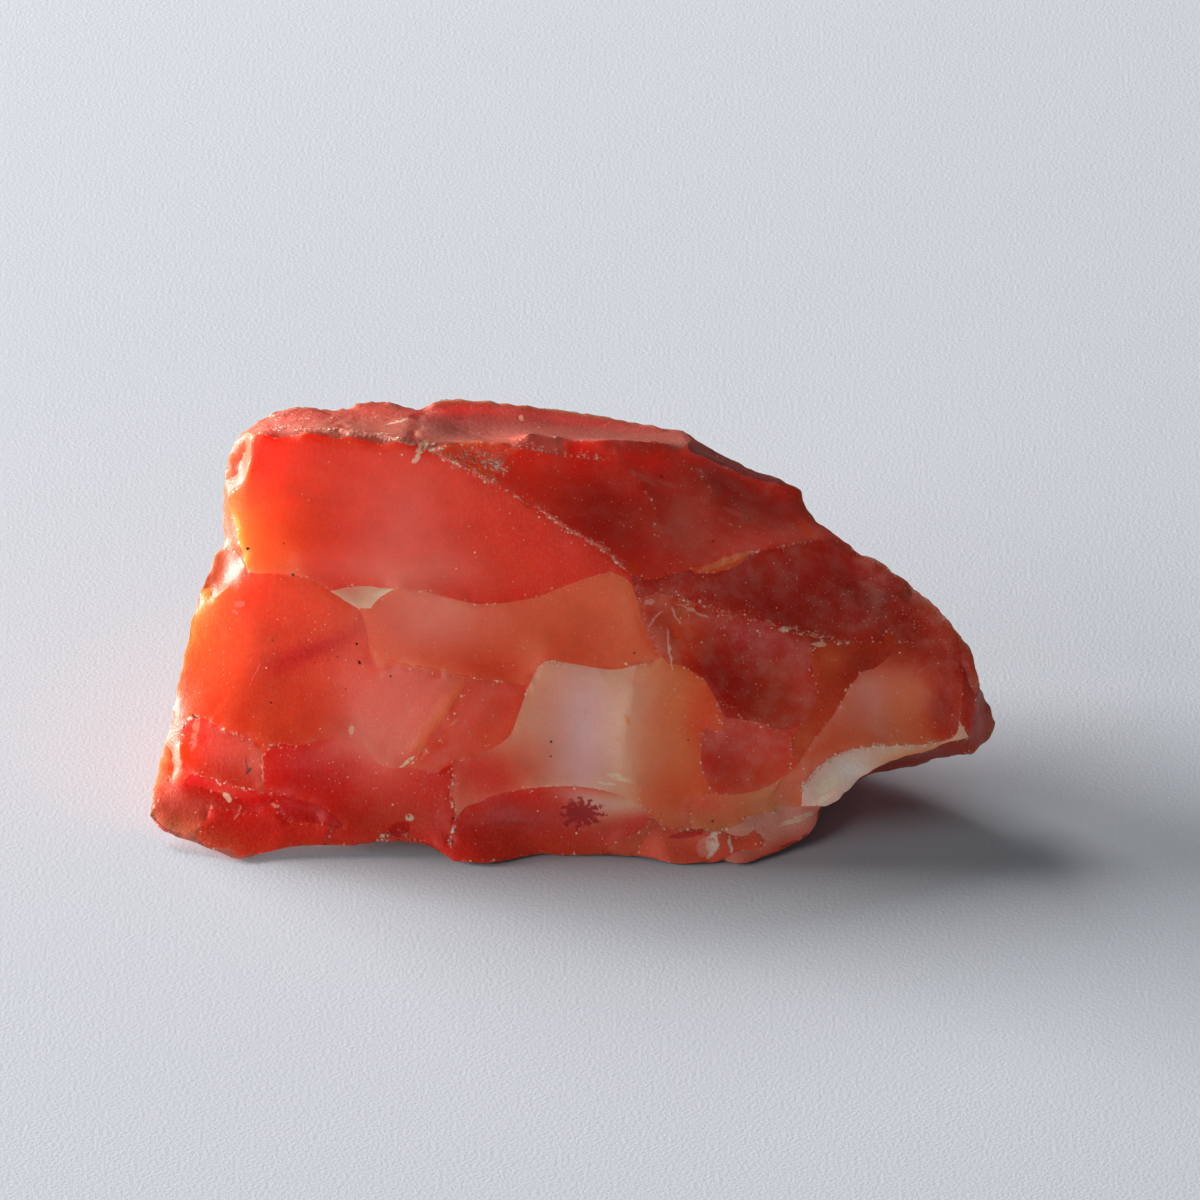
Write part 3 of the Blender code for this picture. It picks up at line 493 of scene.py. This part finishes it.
def line_distance(places, line):
    """Distance of each place from a line of straight stretches, in mm."""
    nearest = np.full(len(places), np.inf)
    for start, end in zip(np.array(line)[:-1], np.array(line)[1:]):
        along = end - start
        share = np.clip(((places - start) @ along) / (along @ along), 0, 1)
        nearest = np.minimum(nearest, np.linalg.norm(places - start - share[:, None] * along, axis=1))
    return nearest


def facing_front(points, faces):
    """Whether each face is seen square on to the front."""
    return face_normals(points, faces) @ TOWARDS_FRONT > 0.05


def on_borders(points, faces, edges, sides, lines):
    """Which edges lie on a border."""
    places = drawn(points)[:, :2]
    in_front = facing_front(points, faces)[sides].any(1)
    found = np.zeros(len(edges), bool)
    for line in lines:
        near = line_distance(places, line) < BORDER_REACH
        found |= near[edges].all(1) & in_front
    return found


def seed_faces(points, faces):
    """The face that each named scar grows from."""
    middles = points[faces].mean(1)
    places = drawn(middles)
    facing = facing_front(points, faces)
    upright = middles / MM + (*DRAWING_MIDDLE, 0)
    seeds = {}
    for name, (across, up, *_) in FRONT.items():
        gap = np.hypot(places[:, 0] - across, places[:, 1] - up)
        seeds[name] = int(np.argmin(np.where(facing, gap, np.inf)))
    for name, (*place, _) in BEHIND.items():
        seeds[name] = int(np.argmin(np.linalg.norm(upright - place, axis=1)))
    return seeds


def grow_scars(seeds, sides, angles, count):
    """The scar that each face is in, as an index into the seeds. Faces join across the softest folds first,
    and two groups that both hold a seed never join."""
    parent = list(range(count))
    owner = [-1] * count
    for index, face in enumerate(seeds.values()):
        owner[face] = index

    def root(face):
        while parent[face] != face:
            parent[face] = parent[parent[face]]
            face = parent[face]
        return face

    for edge in np.argsort(angles, kind="stable"):
        a, b = root(sides[edge, 0]), root(sides[edge, 1])
        if a == b or (owner[a] >= 0 and owner[b] >= 0):
            continue
        parent[a] = b
        owner[b] = max(owner[a], owner[b])
    return np.array([owner[root(face)] for face in range(count)])


def subdivide(points, faces, scars, sharp):
    """One Loop subdivision. sharp holds the edges that stay ridges, each as one number."""
    edges, sides, face_edges = edges_of(faces)
    count = len(points)
    is_sharp = np.isin(edges[:, 0] * count + edges[:, 1], sharp)
    opposite = faces[sides].sum(2) - edges.sum(1)[:, None]
    middle = points[edges].mean(1)
    smooth = 0.75 * middle + 0.125 * points[opposite].sum(1)
    edge_points = np.where(is_sharp[:, None], middle, smooth)

    around, valence = np.zeros_like(points), np.zeros(count)
    ridge_around, ridge_valence = np.zeros_like(points), np.zeros(count)
    for here, there in (edges.T, edges.T[::-1]):
        np.add.at(around, here, points[there])
        np.add.at(valence, here, 1)
        np.add.at(ridge_around, here[is_sharp], points[there[is_sharp]])
        np.add.at(ridge_valence, here[is_sharp], 1)
    weight = (0.625 - (0.375 + 0.25 * np.cos(2 * math.pi / valence)) ** 2)[:, None]
    moved = points * (1 - weight) + around / valence[:, None] * weight
    moved = np.where((ridge_valence == 2)[:, None], 0.75 * points + 0.125 * ridge_around, moved)
    moved = np.where((ridge_valence > 2)[:, None], points, moved)

    ab, bc, ca = (count + face_edges[:, i] for i in range(3))
    a, b, c = faces.T
    parts = [(a, ab, ca), (ab, b, bc), (ca, bc, c), (ab, bc, ca)]
    new_faces = np.concatenate([np.stack(part, axis=1) for part in parts])
    new_count = count + len(edges)
    halves = np.concatenate([edges[is_sharp, 0], edges[is_sharp, 1]])
    middles = np.tile(count + np.nonzero(is_sharp)[0], 2)
    return np.concatenate([moved, edge_points]), new_faces, np.tile(scars, 4), halves * new_count + middles


def distance_to(points, targets):
    """Distance from each point to the nearest of the targets, in mm."""
    tree = kdtree.KDTree(len(targets))
    for i, target in enumerate(targets):
        tree.insert(target, i)
    tree.balance()
    return np.array([tree.find(point)[2] for point in points]) / MM


def noise_at(points, size, offset=0.0):
    """Smooth noise from about -1 to 1 at each point, with features of the given size in mm."""
    scaled = points / (size * MM) + offset
    return np.array([noise.noise(Vector(p)) for p in scaled])


def crush_share(points):
    """How crushed the front is at each point, from 0 to 1, along the lines where it is."""
    places = drawn(points)[:, :2]
    share = np.zeros(len(points))
    for width, strength, line in CRUSHED:
        share = np.maximum(share, strength * np.exp(-((line_distance(places, line) / width) ** 2)))
    return share


def smooth_places(points, faces):
    """Evens out the surface at the places where it runs on evenly."""
    places = drawn(points)[:, :2]
    share = np.zeros(len(points))
    for across, up, radius in SMOOTHED:
        gap = np.hypot(places[:, 0] - across, places[:, 1] - up) / radius
        share = np.maximum(share, np.exp(-(gap**2)))
    share[point_normals(points, faces) @ TOWARDS_FRONT < 0] = 0
    edges, _, _ = edges_of(faces)
    both = np.concatenate([edges, edges[:, ::-1]])
    valence = np.bincount(both[:, 0], minlength=len(points))[:, None]
    for _ in range(SMOOTHING_ROUNDS):
        around = np.zeros_like(points)
        np.add.at(around, both[:, 0], points[both[:, 1]])
        points = points + (around / valence - points) * share[:, None]
    return points


def wear_down(points, faces, to_ridge, crush):
    """Moves points inward: crushed and chipped along the ridges, faintly rippled and pitted elsewhere."""
    normals = point_normals(points, faces)
    near = np.clip(1 - to_ridge / WEAR_REACH, 0, 1)
    crumble = np.clip(0.5 + noise_at(points, WEAR_SIZE), 0, 1)
    chips = np.clip(noise_at(points, CHIP_SIZE, 17) * 2 - 0.35, 0, 1)
    near_chips = np.clip(1 - to_ridge / (2 * WEAR_REACH), 0, 1)
    crushing = np.clip(0.4 + noise_at(points, CRUSH_SIZE, 29) * 1.5, 0, 1)
    ripples = 0.5 + 0.5 * noise_at(points, RIPPLE_SIZE, 31)
    pits = np.clip(noise_at(points, PIT_SIZE, 43) * 3 - 1.3, 0, 1)
    depth = near * crumble * WEAR_DEPTH + near_chips * chips * CHIP_DEPTH
    depth += crush * crushing * CRUSH_DEPTH + ripples * RIPPLE_DEPTH + pits * PIT_DEPTH
    depth *= np.clip(points[:, 2] / MM, 0, 1)  # the flat underneath keeps its place
    return points - normals * (depth * MM)[:, None]


def thinness(points, facing):
    """How thin the stone is at each point, from 0 to 1, by how near the side facing away from it comes."""
    in_front, behind = facing > 0, facing <= 0
    across = np.zeros(len(points))
    across[in_front] = distance_to(points[in_front], points[behind])
    across[behind] = distance_to(points[behind], points[in_front])
    return np.clip(1 - across / THIN, 0, 1)


def build_shape(node):
    """Points, faces, each face's scar, and how worn and how thin the stone is at each point."""
    points, faces = solid_mesh(node)
    edges, sides, _ = edges_of(faces)
    angles = folds(points, faces, sides)
    bordered = on_borders(points, faces, edges, sides, BORDERS)
    softly = on_borders(points, faces, edges, sides, SOFT_BORDERS) & ~bordered
    held = np.where(bordered | softly, math.pi, angles)
    scars = grow_scars(seed_faces(points, faces), sides, held, len(faces))
    ridge = (scars[sides[:, 0]] != scars[sides[:, 1]]) & (held > SHARP_FOLD) & ~softly
    sharp = edges[ridge, 0] * len(points) + edges[ridge, 1]
    for _ in range(2):
        points, faces, scars, sharp = subdivide(points, faces, scars, sharp)
    points = smooth_places(points, faces)
    on_ridge = np.unique(np.concatenate([sharp // len(points), sharp % len(points)]))
    to_ridge = distance_to(points, points[on_ridge])
    facing = point_normals(points, faces) @ TOWARDS_FRONT
    crush = crush_share(points) * (facing > 0)
    ridge_wear = RIDGE_WEAR * np.clip(1 - to_ridge / WEAR_REACH, 0, 1)
    worn = np.maximum(crush, ridge_wear) * np.clip((facing - 0.15) / 0.3, 0, 1)
    return wear_down(points, faces, to_ridge, crush), faces, scars, worn, thinness(points, facing)


# --- paint --------------------------------------------------------------------------------------------------


def cloud_share(places, across, up, width, height, turn):
    """How much of a cloud is at each place, from 0 to 1."""
    angle = math.radians(turn)
    x, y = places[..., 0] - across, places[..., 1] - up
    along = (x * math.cos(angle) + y * math.sin(angle)) / width
    over = (y * math.cos(angle) - x * math.sin(angle)) / height
    return np.exp(-(along**2) - over**2)


def inner_colour(points):
    """Colour that runs through the stone, as display values: red with orange, rosy and darker clouds."""
    colour = np.tile(np.array(TONES["scarlet"], float), (len(points), 1))
    for tone, size, offset, least in (
        ("wine", 9, 3, -0.1), ("orange", 7, 11, 0.05), ("coral", 6, 23, 0.1), ("copper", 5, 37, 0.2)
    ):
        share = np.clip((noise_at(points, size, offset) - least) * 2.5, 0, 1)[:, None]
        colour = colour * (1 - share) + np.array(TONES[tone]) * share
    return colour


def paint_corners(points, faces, scars):
    """Colour of each face corner, as display values, with a painted window glow and painted shade on the rim.
    """
    wander = np.stack([noise_at(points, CLOUD_WANDER_SIZE, offset) for offset in (5, 61)], axis=1)
    places = drawn(points)[:, :2] + wander * CLOUD_WANDER
    inner = inner_colour(points)
    normals = point_normals(points, faces)
    # Painted light: faces turned toward the window light are painted sienna, the window's glow through the
    # left end.
    left = np.clip((normals @ TOWARDS_WINDOW - WINDOW_GLOW_TURN) / 0.4, 0, 1)[:, None] * WINDOW_GLOW_SHARE
    facing = normals @ TOWARDS_FRONT
    # Painted shade: where the surface turns away from the front, its colour is darkened towards umber.
    rim_shade = np.clip((SHADE_RIM_TURN - facing) / 0.25, 0, 1) * np.clip((facing + 0.75) / 0.5, 0.25, 1)
    rim_shade = rim_shade[:, None] * RIM_SHADE_SHARE
    mottle = noise_at(points, 1.1, 71) * 5 + noise_at(points, 0.4, 83) * 3
    colour = np.zeros((len(faces), 3, 3))
    for index, name in enumerate([*FRONT, *BEHIND]):
        mine = scars == index
        corner = faces[mine]
        tone = FRONT[name][2] if name in FRONT else BEHIND[name][3]
        inner_share = FRONT_INNER if name in FRONT else BEHIND_INNER
        mine_colour = np.array(TONES[tone]) * (1 - inner_share) + inner[corner] * inner_share
        for stem, cloud_tone, across, up, width, height, turn, strength in CLOUDS:
            if not name.startswith(tuple(stem.split())):
                continue
            share = strength * cloud_share(places[corner], across, up, width, height, turn)[..., None]
            mine_colour = mine_colour * (1 - share) + np.array(TONES[cloud_tone]) * share
        mine_colour = mine_colour * (1 - left[corner]) + np.array(TONES["sienna"]) * left[corner]
        mine_colour = mine_colour * (1 - rim_shade[corner]) + np.array(TONES["umber"]) * rim_shade[corner]
        colour[mine] = mine_colour + mottle[corner][..., None]
    return colour


def finish_corners(faces, scars, worn):
    """How frosted, worn and dusty each face corner is, from 0 to 1, and 1 where it is on the front."""
    frost = np.array([entry[3] for entry in FRONT.values()] + [BEHIND_FROST] * len(BEHIND))
    dust = np.array([entry[4] for entry in FRONT.values()] + [BEHIND_DUST] * len(BEHIND))
    finish = np.zeros((len(faces), 3, 4))
    finish[..., 0] = frost[scars][:, None]
    finish[..., 1] = worn[faces]
    finish[..., 2] = dust[scars][:, None]
    finish[..., 3] = (scars < len(FRONT))[:, None]
    return finish


def corner_attribute(mesh, name, values):
    attribute = mesh.attributes.new(name, "FLOAT_COLOR", "CORNER")
    attribute.data.foreach_set("color", values.astype(np.float32).ravel())


def build_stone(node):
    points, faces, scars, worn, thin = build_shape(node)
    mesh = bpy.data.meshes.new("carnelian_stone")
    mesh.from_pydata(points.tolist(), [], faces.tolist())
    paint = linear(paint_corners(points, faces, scars))
    corner_attribute(mesh, "paint", np.concatenate([paint, thin[faces][..., None]], axis=2))
    corner_attribute(mesh, "finish", finish_corners(faces, scars, worn))
    mesh.shade_smooth()
    mesh.set_sharp_from_angle(angle=SHADE_SHARP)
    mesh.materials.append(stone_material())
    stone = bpy.data.objects.new("carnelian_stone", mesh)
    bpy.context.scene.collection.objects.link(stone)
    return stone


# --- material -----------------------------------------------------------------------------------------------


def join(tree, source, socket):
    """Gives the socket a value, or links it to the source if that is a socket too."""
    if isinstance(source, bpy.types.NodeSocket):
        tree.links.new(source, socket)
    else:
        socket.default_value = source


def add_node(tree, kind, **inputs):
    added = tree.nodes.new(kind)
    for name, source in inputs.items():
        join(tree, source, added.inputs[name.replace("_", " ")])
    return added


def calc(tree, operation, *sources, clamp=False):
    added = tree.nodes.new("ShaderNodeMath")
    added.operation = operation
    added.use_clamp = clamp
    for source, socket in zip(sources, added.inputs):
        join(tree, source, socket)
    return added.outputs[0]


def vector_calc(tree, operation, *sources):
    added = tree.nodes.new("ShaderNodeVectorMath")
    added.operation = operation
    for source, socket in zip(sources, added.inputs):
        join(tree, source, socket)
    return added.outputs["Value"] if operation in ("DOT_PRODUCT", "LENGTH") else added.outputs[0]


def blend_colours(tree, share, first, second):
    added = tree.nodes.new("ShaderNodeMix")
    added.data_type = "RGBA"
    join(tree, share, added.inputs[0])
    join(tree, first, added.inputs[6])
    join(tree, second, added.inputs[7])
    return added.outputs[2]


def ramp(tree, source, low, high, top=1.0):
    """0 below low, top above high and smooth between."""
    added = tree.nodes.new("ShaderNodeMapRange")
    added.interpolation_type = "SMOOTHSTEP"
    join(tree, source, added.inputs["Value"])
    join(tree, low, added.inputs["From Min"])
    join(tree, high, added.inputs["From Max"])
    join(tree, top, added.inputs["To Max"])
    return added.outputs[0]


def grain(tree, place, size, detail=2.0):
    """Noise from 0 to 1 with features of the given size in mm."""
    return add_node(tree, "ShaderNodeTexNoise", Vector=place, Scale=1 / (size * MM), Detail=detail).outputs[0]


def specks(tree, place, spacing, radius, share):
    """1 inside scattered round specks. spacing and radius are in mm, and share of the specks is kept."""
    cells = add_node(tree, "ShaderNodeTexVoronoi", Vector=place, Scale=1 / (spacing * MM))
    pick = tree.nodes.new("ShaderNodeSeparateColor")
    join(tree, cells.outputs["Color"], pick.inputs[0])
    reach = calc(tree, "MULTIPLY", pick.outputs[1], radius / spacing)
    inside = calc(tree, "LESS_THAN", cells.outputs["Distance"], reach)
    kept = calc(tree, "LESS_THAN", pick.outputs[0], share)
    return calc(tree, "MULTIPLY", inside, kept)


def tone(name):
    return (*linear(TONES[name]), 1)


def front_place(tree, place):
    """(across, up) in mm of a place on the front, wandering a little so that outlines come out uneven."""
    across = vector_calc(tree, "DOT_PRODUCT", place, (1 / MM, 0, 0))
    up = vector_calc(tree, "DOT_PRODUCT", place, (0, math.sin(FACE_LEAN) / MM, math.cos(FACE_LEAN) / MM))
    flat = tree.nodes.new("ShaderNodeCombineXYZ")
    join(tree, calc(tree, "ADD", across, DRAWING_MIDDLE[0]), flat.inputs[0])
    join(tree, calc(tree, "ADD", up, DRAWING_MIDDLE[1] * math.sin(FACE_LEAN)), flat.inputs[1])
    wander = add_node(tree, "ShaderNodeTexNoise", Vector=place, Scale=1 / (0.35 * MM), Detail=3.0).outputs[1]
    wander = vector_calc(tree, "SUBTRACT", wander, (0.5, 0.5, 0.5))
    wander = vector_calc(tree, "MULTIPLY", wander, (MARK_WANDER, MARK_WANDER, 0))
    return vector_calc(tree, "ADD", flat.outputs[0], wander)


def inside_mark(tree, place, across, up, half_length, half_width, turn, strength):
    """As much as strength inside an oval mark, with a soft edge. The place is (across, up, 1)."""
    angle = math.radians(turn)
    distance = 0.0
    for direction, half_size in ((angle, half_length), (angle + math.pi / 2, half_width)):
        x, y = math.cos(direction) / half_size, math.sin(direction) / half_size
        offset = vector_calc(tree, "DOT_PRODUCT", place, (x, y, -x * across - y * up))
        distance = calc(tree, "MULTIPLY_ADD", offset, offset, distance)
    return ramp(tree, distance, 1 + MARK_SOFTNESS, 1 - MARK_SOFTNESS, strength)


def add_marks(tree, colour, crisp, flat, on_front):
    """The colour with the marks on it, and how crisp it is: the pale marks lie on the surface."""
    broken = ramp(tree, grain(tree, flat, 220, 3.0), 0.3, 0.5)
    lifted = vector_calc(tree, "ADD", flat, (0, 0, 1))
    marked = colour
    pale = 0.0
    for *place, mark_tone, strength in MARKS:
        share = inside_mark(tree, lifted, *place, strength)
        if mark_tone in PALE_MARKS:
            share = calc(tree, "MULTIPLY", share, broken)
            pale = calc(tree, "MAXIMUM", pale, share)
        marked = blend_colours(tree, share, marked, tone(mark_tone))
    colour = blend_colours(tree, on_front, colour, marked)
    pale = calc(tree, "MULTIPLY", calc(tree, "MULTIPLY", pale, on_front), 0.6)
    return colour, calc(tree, "MAXIMUM", crisp, pale)


def inside_panel(tree, flat, sides):
    """1 inside a zone that is bounded by straight sides, each with its own softness."""
    share = 1.0
    for (start_x, start_y), (end_x, end_y), softness in sides:
        length = math.hypot(end_x - start_x, end_y - start_y)
        inward = ((start_y - end_y) / length, (end_x - start_x) / length, 0)
        level = inward[0] * start_x + inward[1] * start_y
        side = ramp(tree, vector_calc(tree, "DOT_PRODUCT", flat, inward), level, level + softness)
        share = calc(tree, "MULTIPLY", side, share)
    return share


def add_panels(tree, colour, flat, on_front):
    """The colour with the panels on it, and how high they stand, in mm."""
    height = 0.0
    for panel_tone, strength, rise, sides in PANELS:
        share = calc(tree, "MULTIPLY", inside_panel(tree, flat, sides), on_front)
        colour = blend_colours(tree, calc(tree, "MULTIPLY", share, strength), colour, tone(panel_tone))
        height = calc(tree, "ADD", height, calc(tree, "MULTIPLY", share, rise))
    return colour, height


def mossy_spot(tree, flat):
    """1 inside a dark spot whose edge feathers into short branches."""
    offset = vector_calc(tree, "SUBTRACT", flat, (*SPOT_PLACE, 0))
    offset = vector_calc(tree, "DIVIDE", offset, (*SPOT_SIZE, 1))
    parts = tree.nodes.new("ShaderNodeSeparateXYZ")
    join(tree, offset, parts.inputs[0])
    distance = vector_calc(tree, "LENGTH", offset)
    angle = calc(tree, "ARCTAN2", parts.outputs[1], parts.outputs[0])
    wavering = calc(tree, "MULTIPLY", grain(tree, offset, 400, 2.0), 5.0)
    arms = calc(tree, "SINE", calc(tree, "ADD", calc(tree, "MULTIPLY", angle, SPOT_ARMS), wavering))
    reach = calc(tree, "ADD", 0.85, calc(tree, "MULTIPLY", arms, 0.2))
    inside = calc(tree, "SUBTRACT", reach, distance)
    patchy = calc(tree, "MULTIPLY", calc(tree, "SUBTRACT", grain(tree, offset, 250, 3.0), 0.5), 1.6)
    return ramp(tree, calc(tree, "ADD", inside, patchy), -0.05, 0.2)


def add_frosting(tree, colour, place, frost, worn, dust):
    """The colour frosted and crushed, with pale chips and painted glints on the worn ridges, how crisp it is,
    and how crushed.
    """
    streaks = grain(tree, vector_calc(tree, "MULTIPLY", place, (1.0, 1.0, 0.4)), 0.12, 2.0)
    fine = grain(tree, place, 0.16, 3.0)
    coarse = grain(tree, place, 0.7, 4.0)
    haze = calc(tree, "MULTIPLY", ramp(tree, grain(tree, place, 0.9, 6.0), 0.35, 0.75), 0.22)
    haze = calc(tree, "MULTIPLY", haze, ramp(tree, dust, 0.2, 0.9))
    veil = calc(tree, "ADD", haze, calc(tree, "MULTIPLY", ramp(tree, streaks, 0.4, 0.7), 0.07))
    colour = blend_colours(tree, calc(tree, "MULTIPLY", veil, 0.6), colour, tone("shell"))
    frosted = calc(tree, "MULTIPLY", frost, ramp(tree, fine, 0.3, 0.75), clamp=True)
    colour = blend_colours(tree, calc(tree, "MULTIPLY", frosted, 0.2), colour, tone("coral"))

    patches = calc(tree, "ADD", worn, calc(tree, "MULTIPLY", calc(tree, "SUBTRACT", coarse, 0.5), 1.4))
    patches = calc(tree, "ADD", patches, calc(tree, "MULTIPLY", calc(tree, "SUBTRACT", fine, 0.5), 1.8))
    crushed = calc(tree, "MULTIPLY", ramp(tree, patches, 0.5, 0.95), ramp(tree, worn, 0.02, 0.3))
    colour = blend_colours(tree, calc(tree, "MULTIPLY", crushed, 0.6), colour, tone("pink"))
    # Cream specks on the worn ridges: partly pale crushed chips, partly painted glints of light.
    pale_chips_and_glints = specks(tree, place, 0.16, 0.10, worn)
    pale_chips_and_glints = calc(tree, "MULTIPLY", pale_chips_and_glints, ramp(tree, patches, 0.2, 0.6))
    colour = blend_colours(tree, calc(tree, "MULTIPLY", pale_chips_and_glints, 0.9), colour, tone("cream"))

    crisp = calc(tree, "ADD", calc(tree, "MULTIPLY", crushed, 0.25), calc(tree, "MULTIPLY", frost, 0.45))
    crisp = calc(tree, "ADD", calc(tree, "ADD", crisp, veil), calc(tree, "MULTIPLY", pale_chips_and_glints, 0.5), clamp=True)
    return colour, crisp, crushed


def add_specks(tree, colour, crisp, place, dust):
    """The colour with dust and dark specks on it, and how crisp it is."""
    dust = calc(tree, "MULTIPLY", dust, ramp(tree, grain(tree, place, 2.5, 2.0), 0.3, 0.7))
    large = specks(tree, place, 0.45, 0.055, dust)
    moved = vector_calc(tree, "ADD", place, (0.3, 0.1, 0.2))
    small = specks(tree, moved, 0.17, 0.04, dust)
    white = calc(tree, "MAXIMUM", calc(tree, "MULTIPLY", large, 0.9), calc(tree, "MULTIPLY", small, 0.55))
    colour = blend_colours(tree, white, colour, tone("cream"))
    dark = specks(tree, vector_calc(tree, "ADD", place, (0.1, 0.2, 0.3)), 1.3, 0.09, 0.4)
    colour = blend_colours(tree, calc(tree, "MULTIPLY", dark, 0.8), colour, tone("soot"))
    return colour, calc(tree, "MAXIMUM", crisp, calc(tree, "MAXIMUM", white, dark))


def surface_height(tree, place, frost, crushed):
    """Height of the finest relief, in mm."""
    fine = calc(tree, "MULTIPLY", grain(tree, place, 0.13, 3.0), 0.022)
    coarse = calc(tree, "MULTIPLY", grain(tree, place, 0.9, 3.0), 0.02)
    roughened = calc(tree, "ADD", calc(tree, "MULTIPLY", frost, 0.03), calc(tree, "MULTIPLY", crushed, 0.14))
    grit = calc(tree, "MULTIPLY", grain(tree, place, 0.2, 2.0), roughened)
    return calc(tree, "ADD", calc(tree, "ADD", fine, coarse), grit)


def stone_material():
    material = bpy.data.materials.new("carnelian_stone")
    material.use_nodes = True
    tree = material.node_tree
    shader = tree.nodes["Principled BSDF"]
    place = tree.nodes.new("ShaderNodeTexCoord").outputs["Object"]
    paint = tree.nodes.new("ShaderNodeAttribute")
    paint.attribute_name = "paint"
    finish = tree.nodes.new("ShaderNodeAttribute")
    finish.attribute_name = "finish"
    parts = tree.nodes.new("ShaderNodeSeparateColor")
    join(tree, finish.outputs["Color"], parts.inputs[0])
    frost, worn, dust = parts.outputs
    on_front = finish.outputs["Alpha"]

    flat = front_place(tree, place)
    colour, panel_height = add_panels(tree, paint.outputs["Color"], flat, on_front)
    colour, crisp, crushed = add_frosting(tree, colour, place, frost, worn, dust)
    colour, crisp = add_specks(tree, colour, crisp, place, dust)
    colour, crisp = add_marks(tree, colour, crisp, flat, on_front)
    spot_share = calc(tree, "MULTIPLY", mossy_spot(tree, flat), calc(tree, "MULTIPLY", on_front, 0.9))
    colour = blend_colours(tree, spot_share, colour, SPOT_COLOUR)
    join(tree, colour, shader.inputs["Base Color"])
    crisp = calc(tree, "MAXIMUM", crisp, spot_share)
    crisp = calc(tree, "MAXIMUM", crisp, ramp(tree, paint.outputs["Alpha"], 0.0, THIN_ENOUGH, THIN_CRISP))
    join(tree, calc(tree, "SUBTRACT", 1.0, crisp, clamp=True), shader.inputs["Subsurface Weight"])

    roughness = calc(tree, "ADD", 0.42, calc(tree, "MULTIPLY", frost, 0.25))
    roughness = calc(tree, "ADD", roughness, calc(tree, "MULTIPLY", crushed, 0.2), clamp=True)
    join(tree, roughness, shader.inputs["Roughness"])
    height = calc(tree, "ADD", surface_height(tree, place, frost, crushed), panel_height)
    bump = add_node(tree, "ShaderNodeBump", Height=height, Distance=MM, Strength=1.0)
    join(tree, bump.outputs[0], shader.inputs["Normal"])

    shader.inputs["Subsurface Radius"].default_value = GLOW_REACH
    shader.inputs["Subsurface Scale"].default_value = MM
    shader.inputs["IOR"].default_value = QUARTZ_IOR
    shader.inputs["Specular IOR Level"].default_value = 0.28
    return material


# --- stage --------------------------------------------------------------------------------------------------


def frame_point(across, up, back):
    """Where a drawn place is in the frame, in metres."""
    sin, cos = math.sin(FACE_LEAN), math.cos(FACE_LEAN)
    x, y = across - DRAWING_MIDDLE[0], up * sin + back * cos - DRAWING_MIDDLE[1]
    return Vector((x, y, up * cos - back * sin)) * MM


def add_floor():
    bpy.ops.mesh.primitive_plane_add(size=3)
    floor = bpy.context.object
    floor.name = "floor"
    material = bpy.data.materials.new("floor_paper")
    material.use_nodes = True
    tree = material.node_tree
    shader = tree.nodes["Principled BSDF"]
    shader.inputs["Base Color"].default_value = PAPER
    shader.inputs["Roughness"].default_value = 0.85
    place = tree.nodes.new("ShaderNodeTexCoord").outputs["Object"]
    fibres = grain(tree, place, 0.2, 3.0)
    bump = add_node(tree, "ShaderNodeBump", Height=fibres, Distance=MM * 0.04, Strength=0.4)
    join(tree, bump.outputs[0], shader.inputs["Normal"])
    floor.data.materials.append(material)


def add_light(name, heading, elevation, width, height, power, colour):
    """A flat light LIGHT_DISTANCE away that faces the stone. Heading and elevation are in degrees."""
    turn, rise = math.radians(heading), math.radians(elevation)
    towards = Vector((math.cos(turn) * math.cos(rise), math.sin(turn) * math.cos(rise), math.sin(rise)))
    data = bpy.data.lights.new(name, "AREA")
    data.shape = "RECTANGLE"
    data.size = width
    data.size_y = height
    data.energy = power
    data.color = colour
    light = bpy.data.objects.new(name, data)
    bpy.context.scene.collection.objects.link(light)
    light.location = towards * LIGHT_DISTANCE
    light.rotation_euler = (-towards).to_track_quat("-Z", "Y").to_euler()


def add_world():
    world = bpy.data.worlds.new("world")
    world.use_nodes = True
    background = world.node_tree.nodes["Background"]
    background.inputs["Color"].default_value = (0.82, 0.9, 1.0, 1)
    background.inputs["Strength"].default_value = 0.04
    bpy.context.scene.world = world


def add_camera():
    data = bpy.data.cameras.new("camera")
    data.sensor_width = 36
    data.lens = data.sensor_width * VIEW_DISTANCE / VIEW_WIDTH
    data.clip_start = 0.01
    camera = bpy.data.objects.new("camera", data)
    bpy.context.scene.collection.objects.link(camera)
    towards = Vector(TOWARDS_FRONT)
    camera.location = frame_point(*VIEW_TARGET) + towards * VIEW_DISTANCE
    camera.rotation_euler = (-towards).to_track_quat("-Z", "Y").to_euler()
    bpy.context.scene.camera = camera


stone = build_stone(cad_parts["carnelian"])
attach(stone, "root")
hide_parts("carnelian")
add_floor()
add_world()
add_light("window", 160, 11, 0.50, 0.25, 31.0, (1.0, 1.0, 1.0))
add_light("back_light", 124, 32, 0.40, 0.30, 5.4, (0.97, 0.98, 1.0))
add_light("left_fill", 205, 24, 0.70, 0.25, 2.8, (0.97, 0.98, 1.0))
add_light("front_fill", 292, 4, 0.50, 0.10, 1.7, (0.97, 0.98, 1.0))
add_camera()
bpy.context.scene.view_settings.view_transform = "Standard"
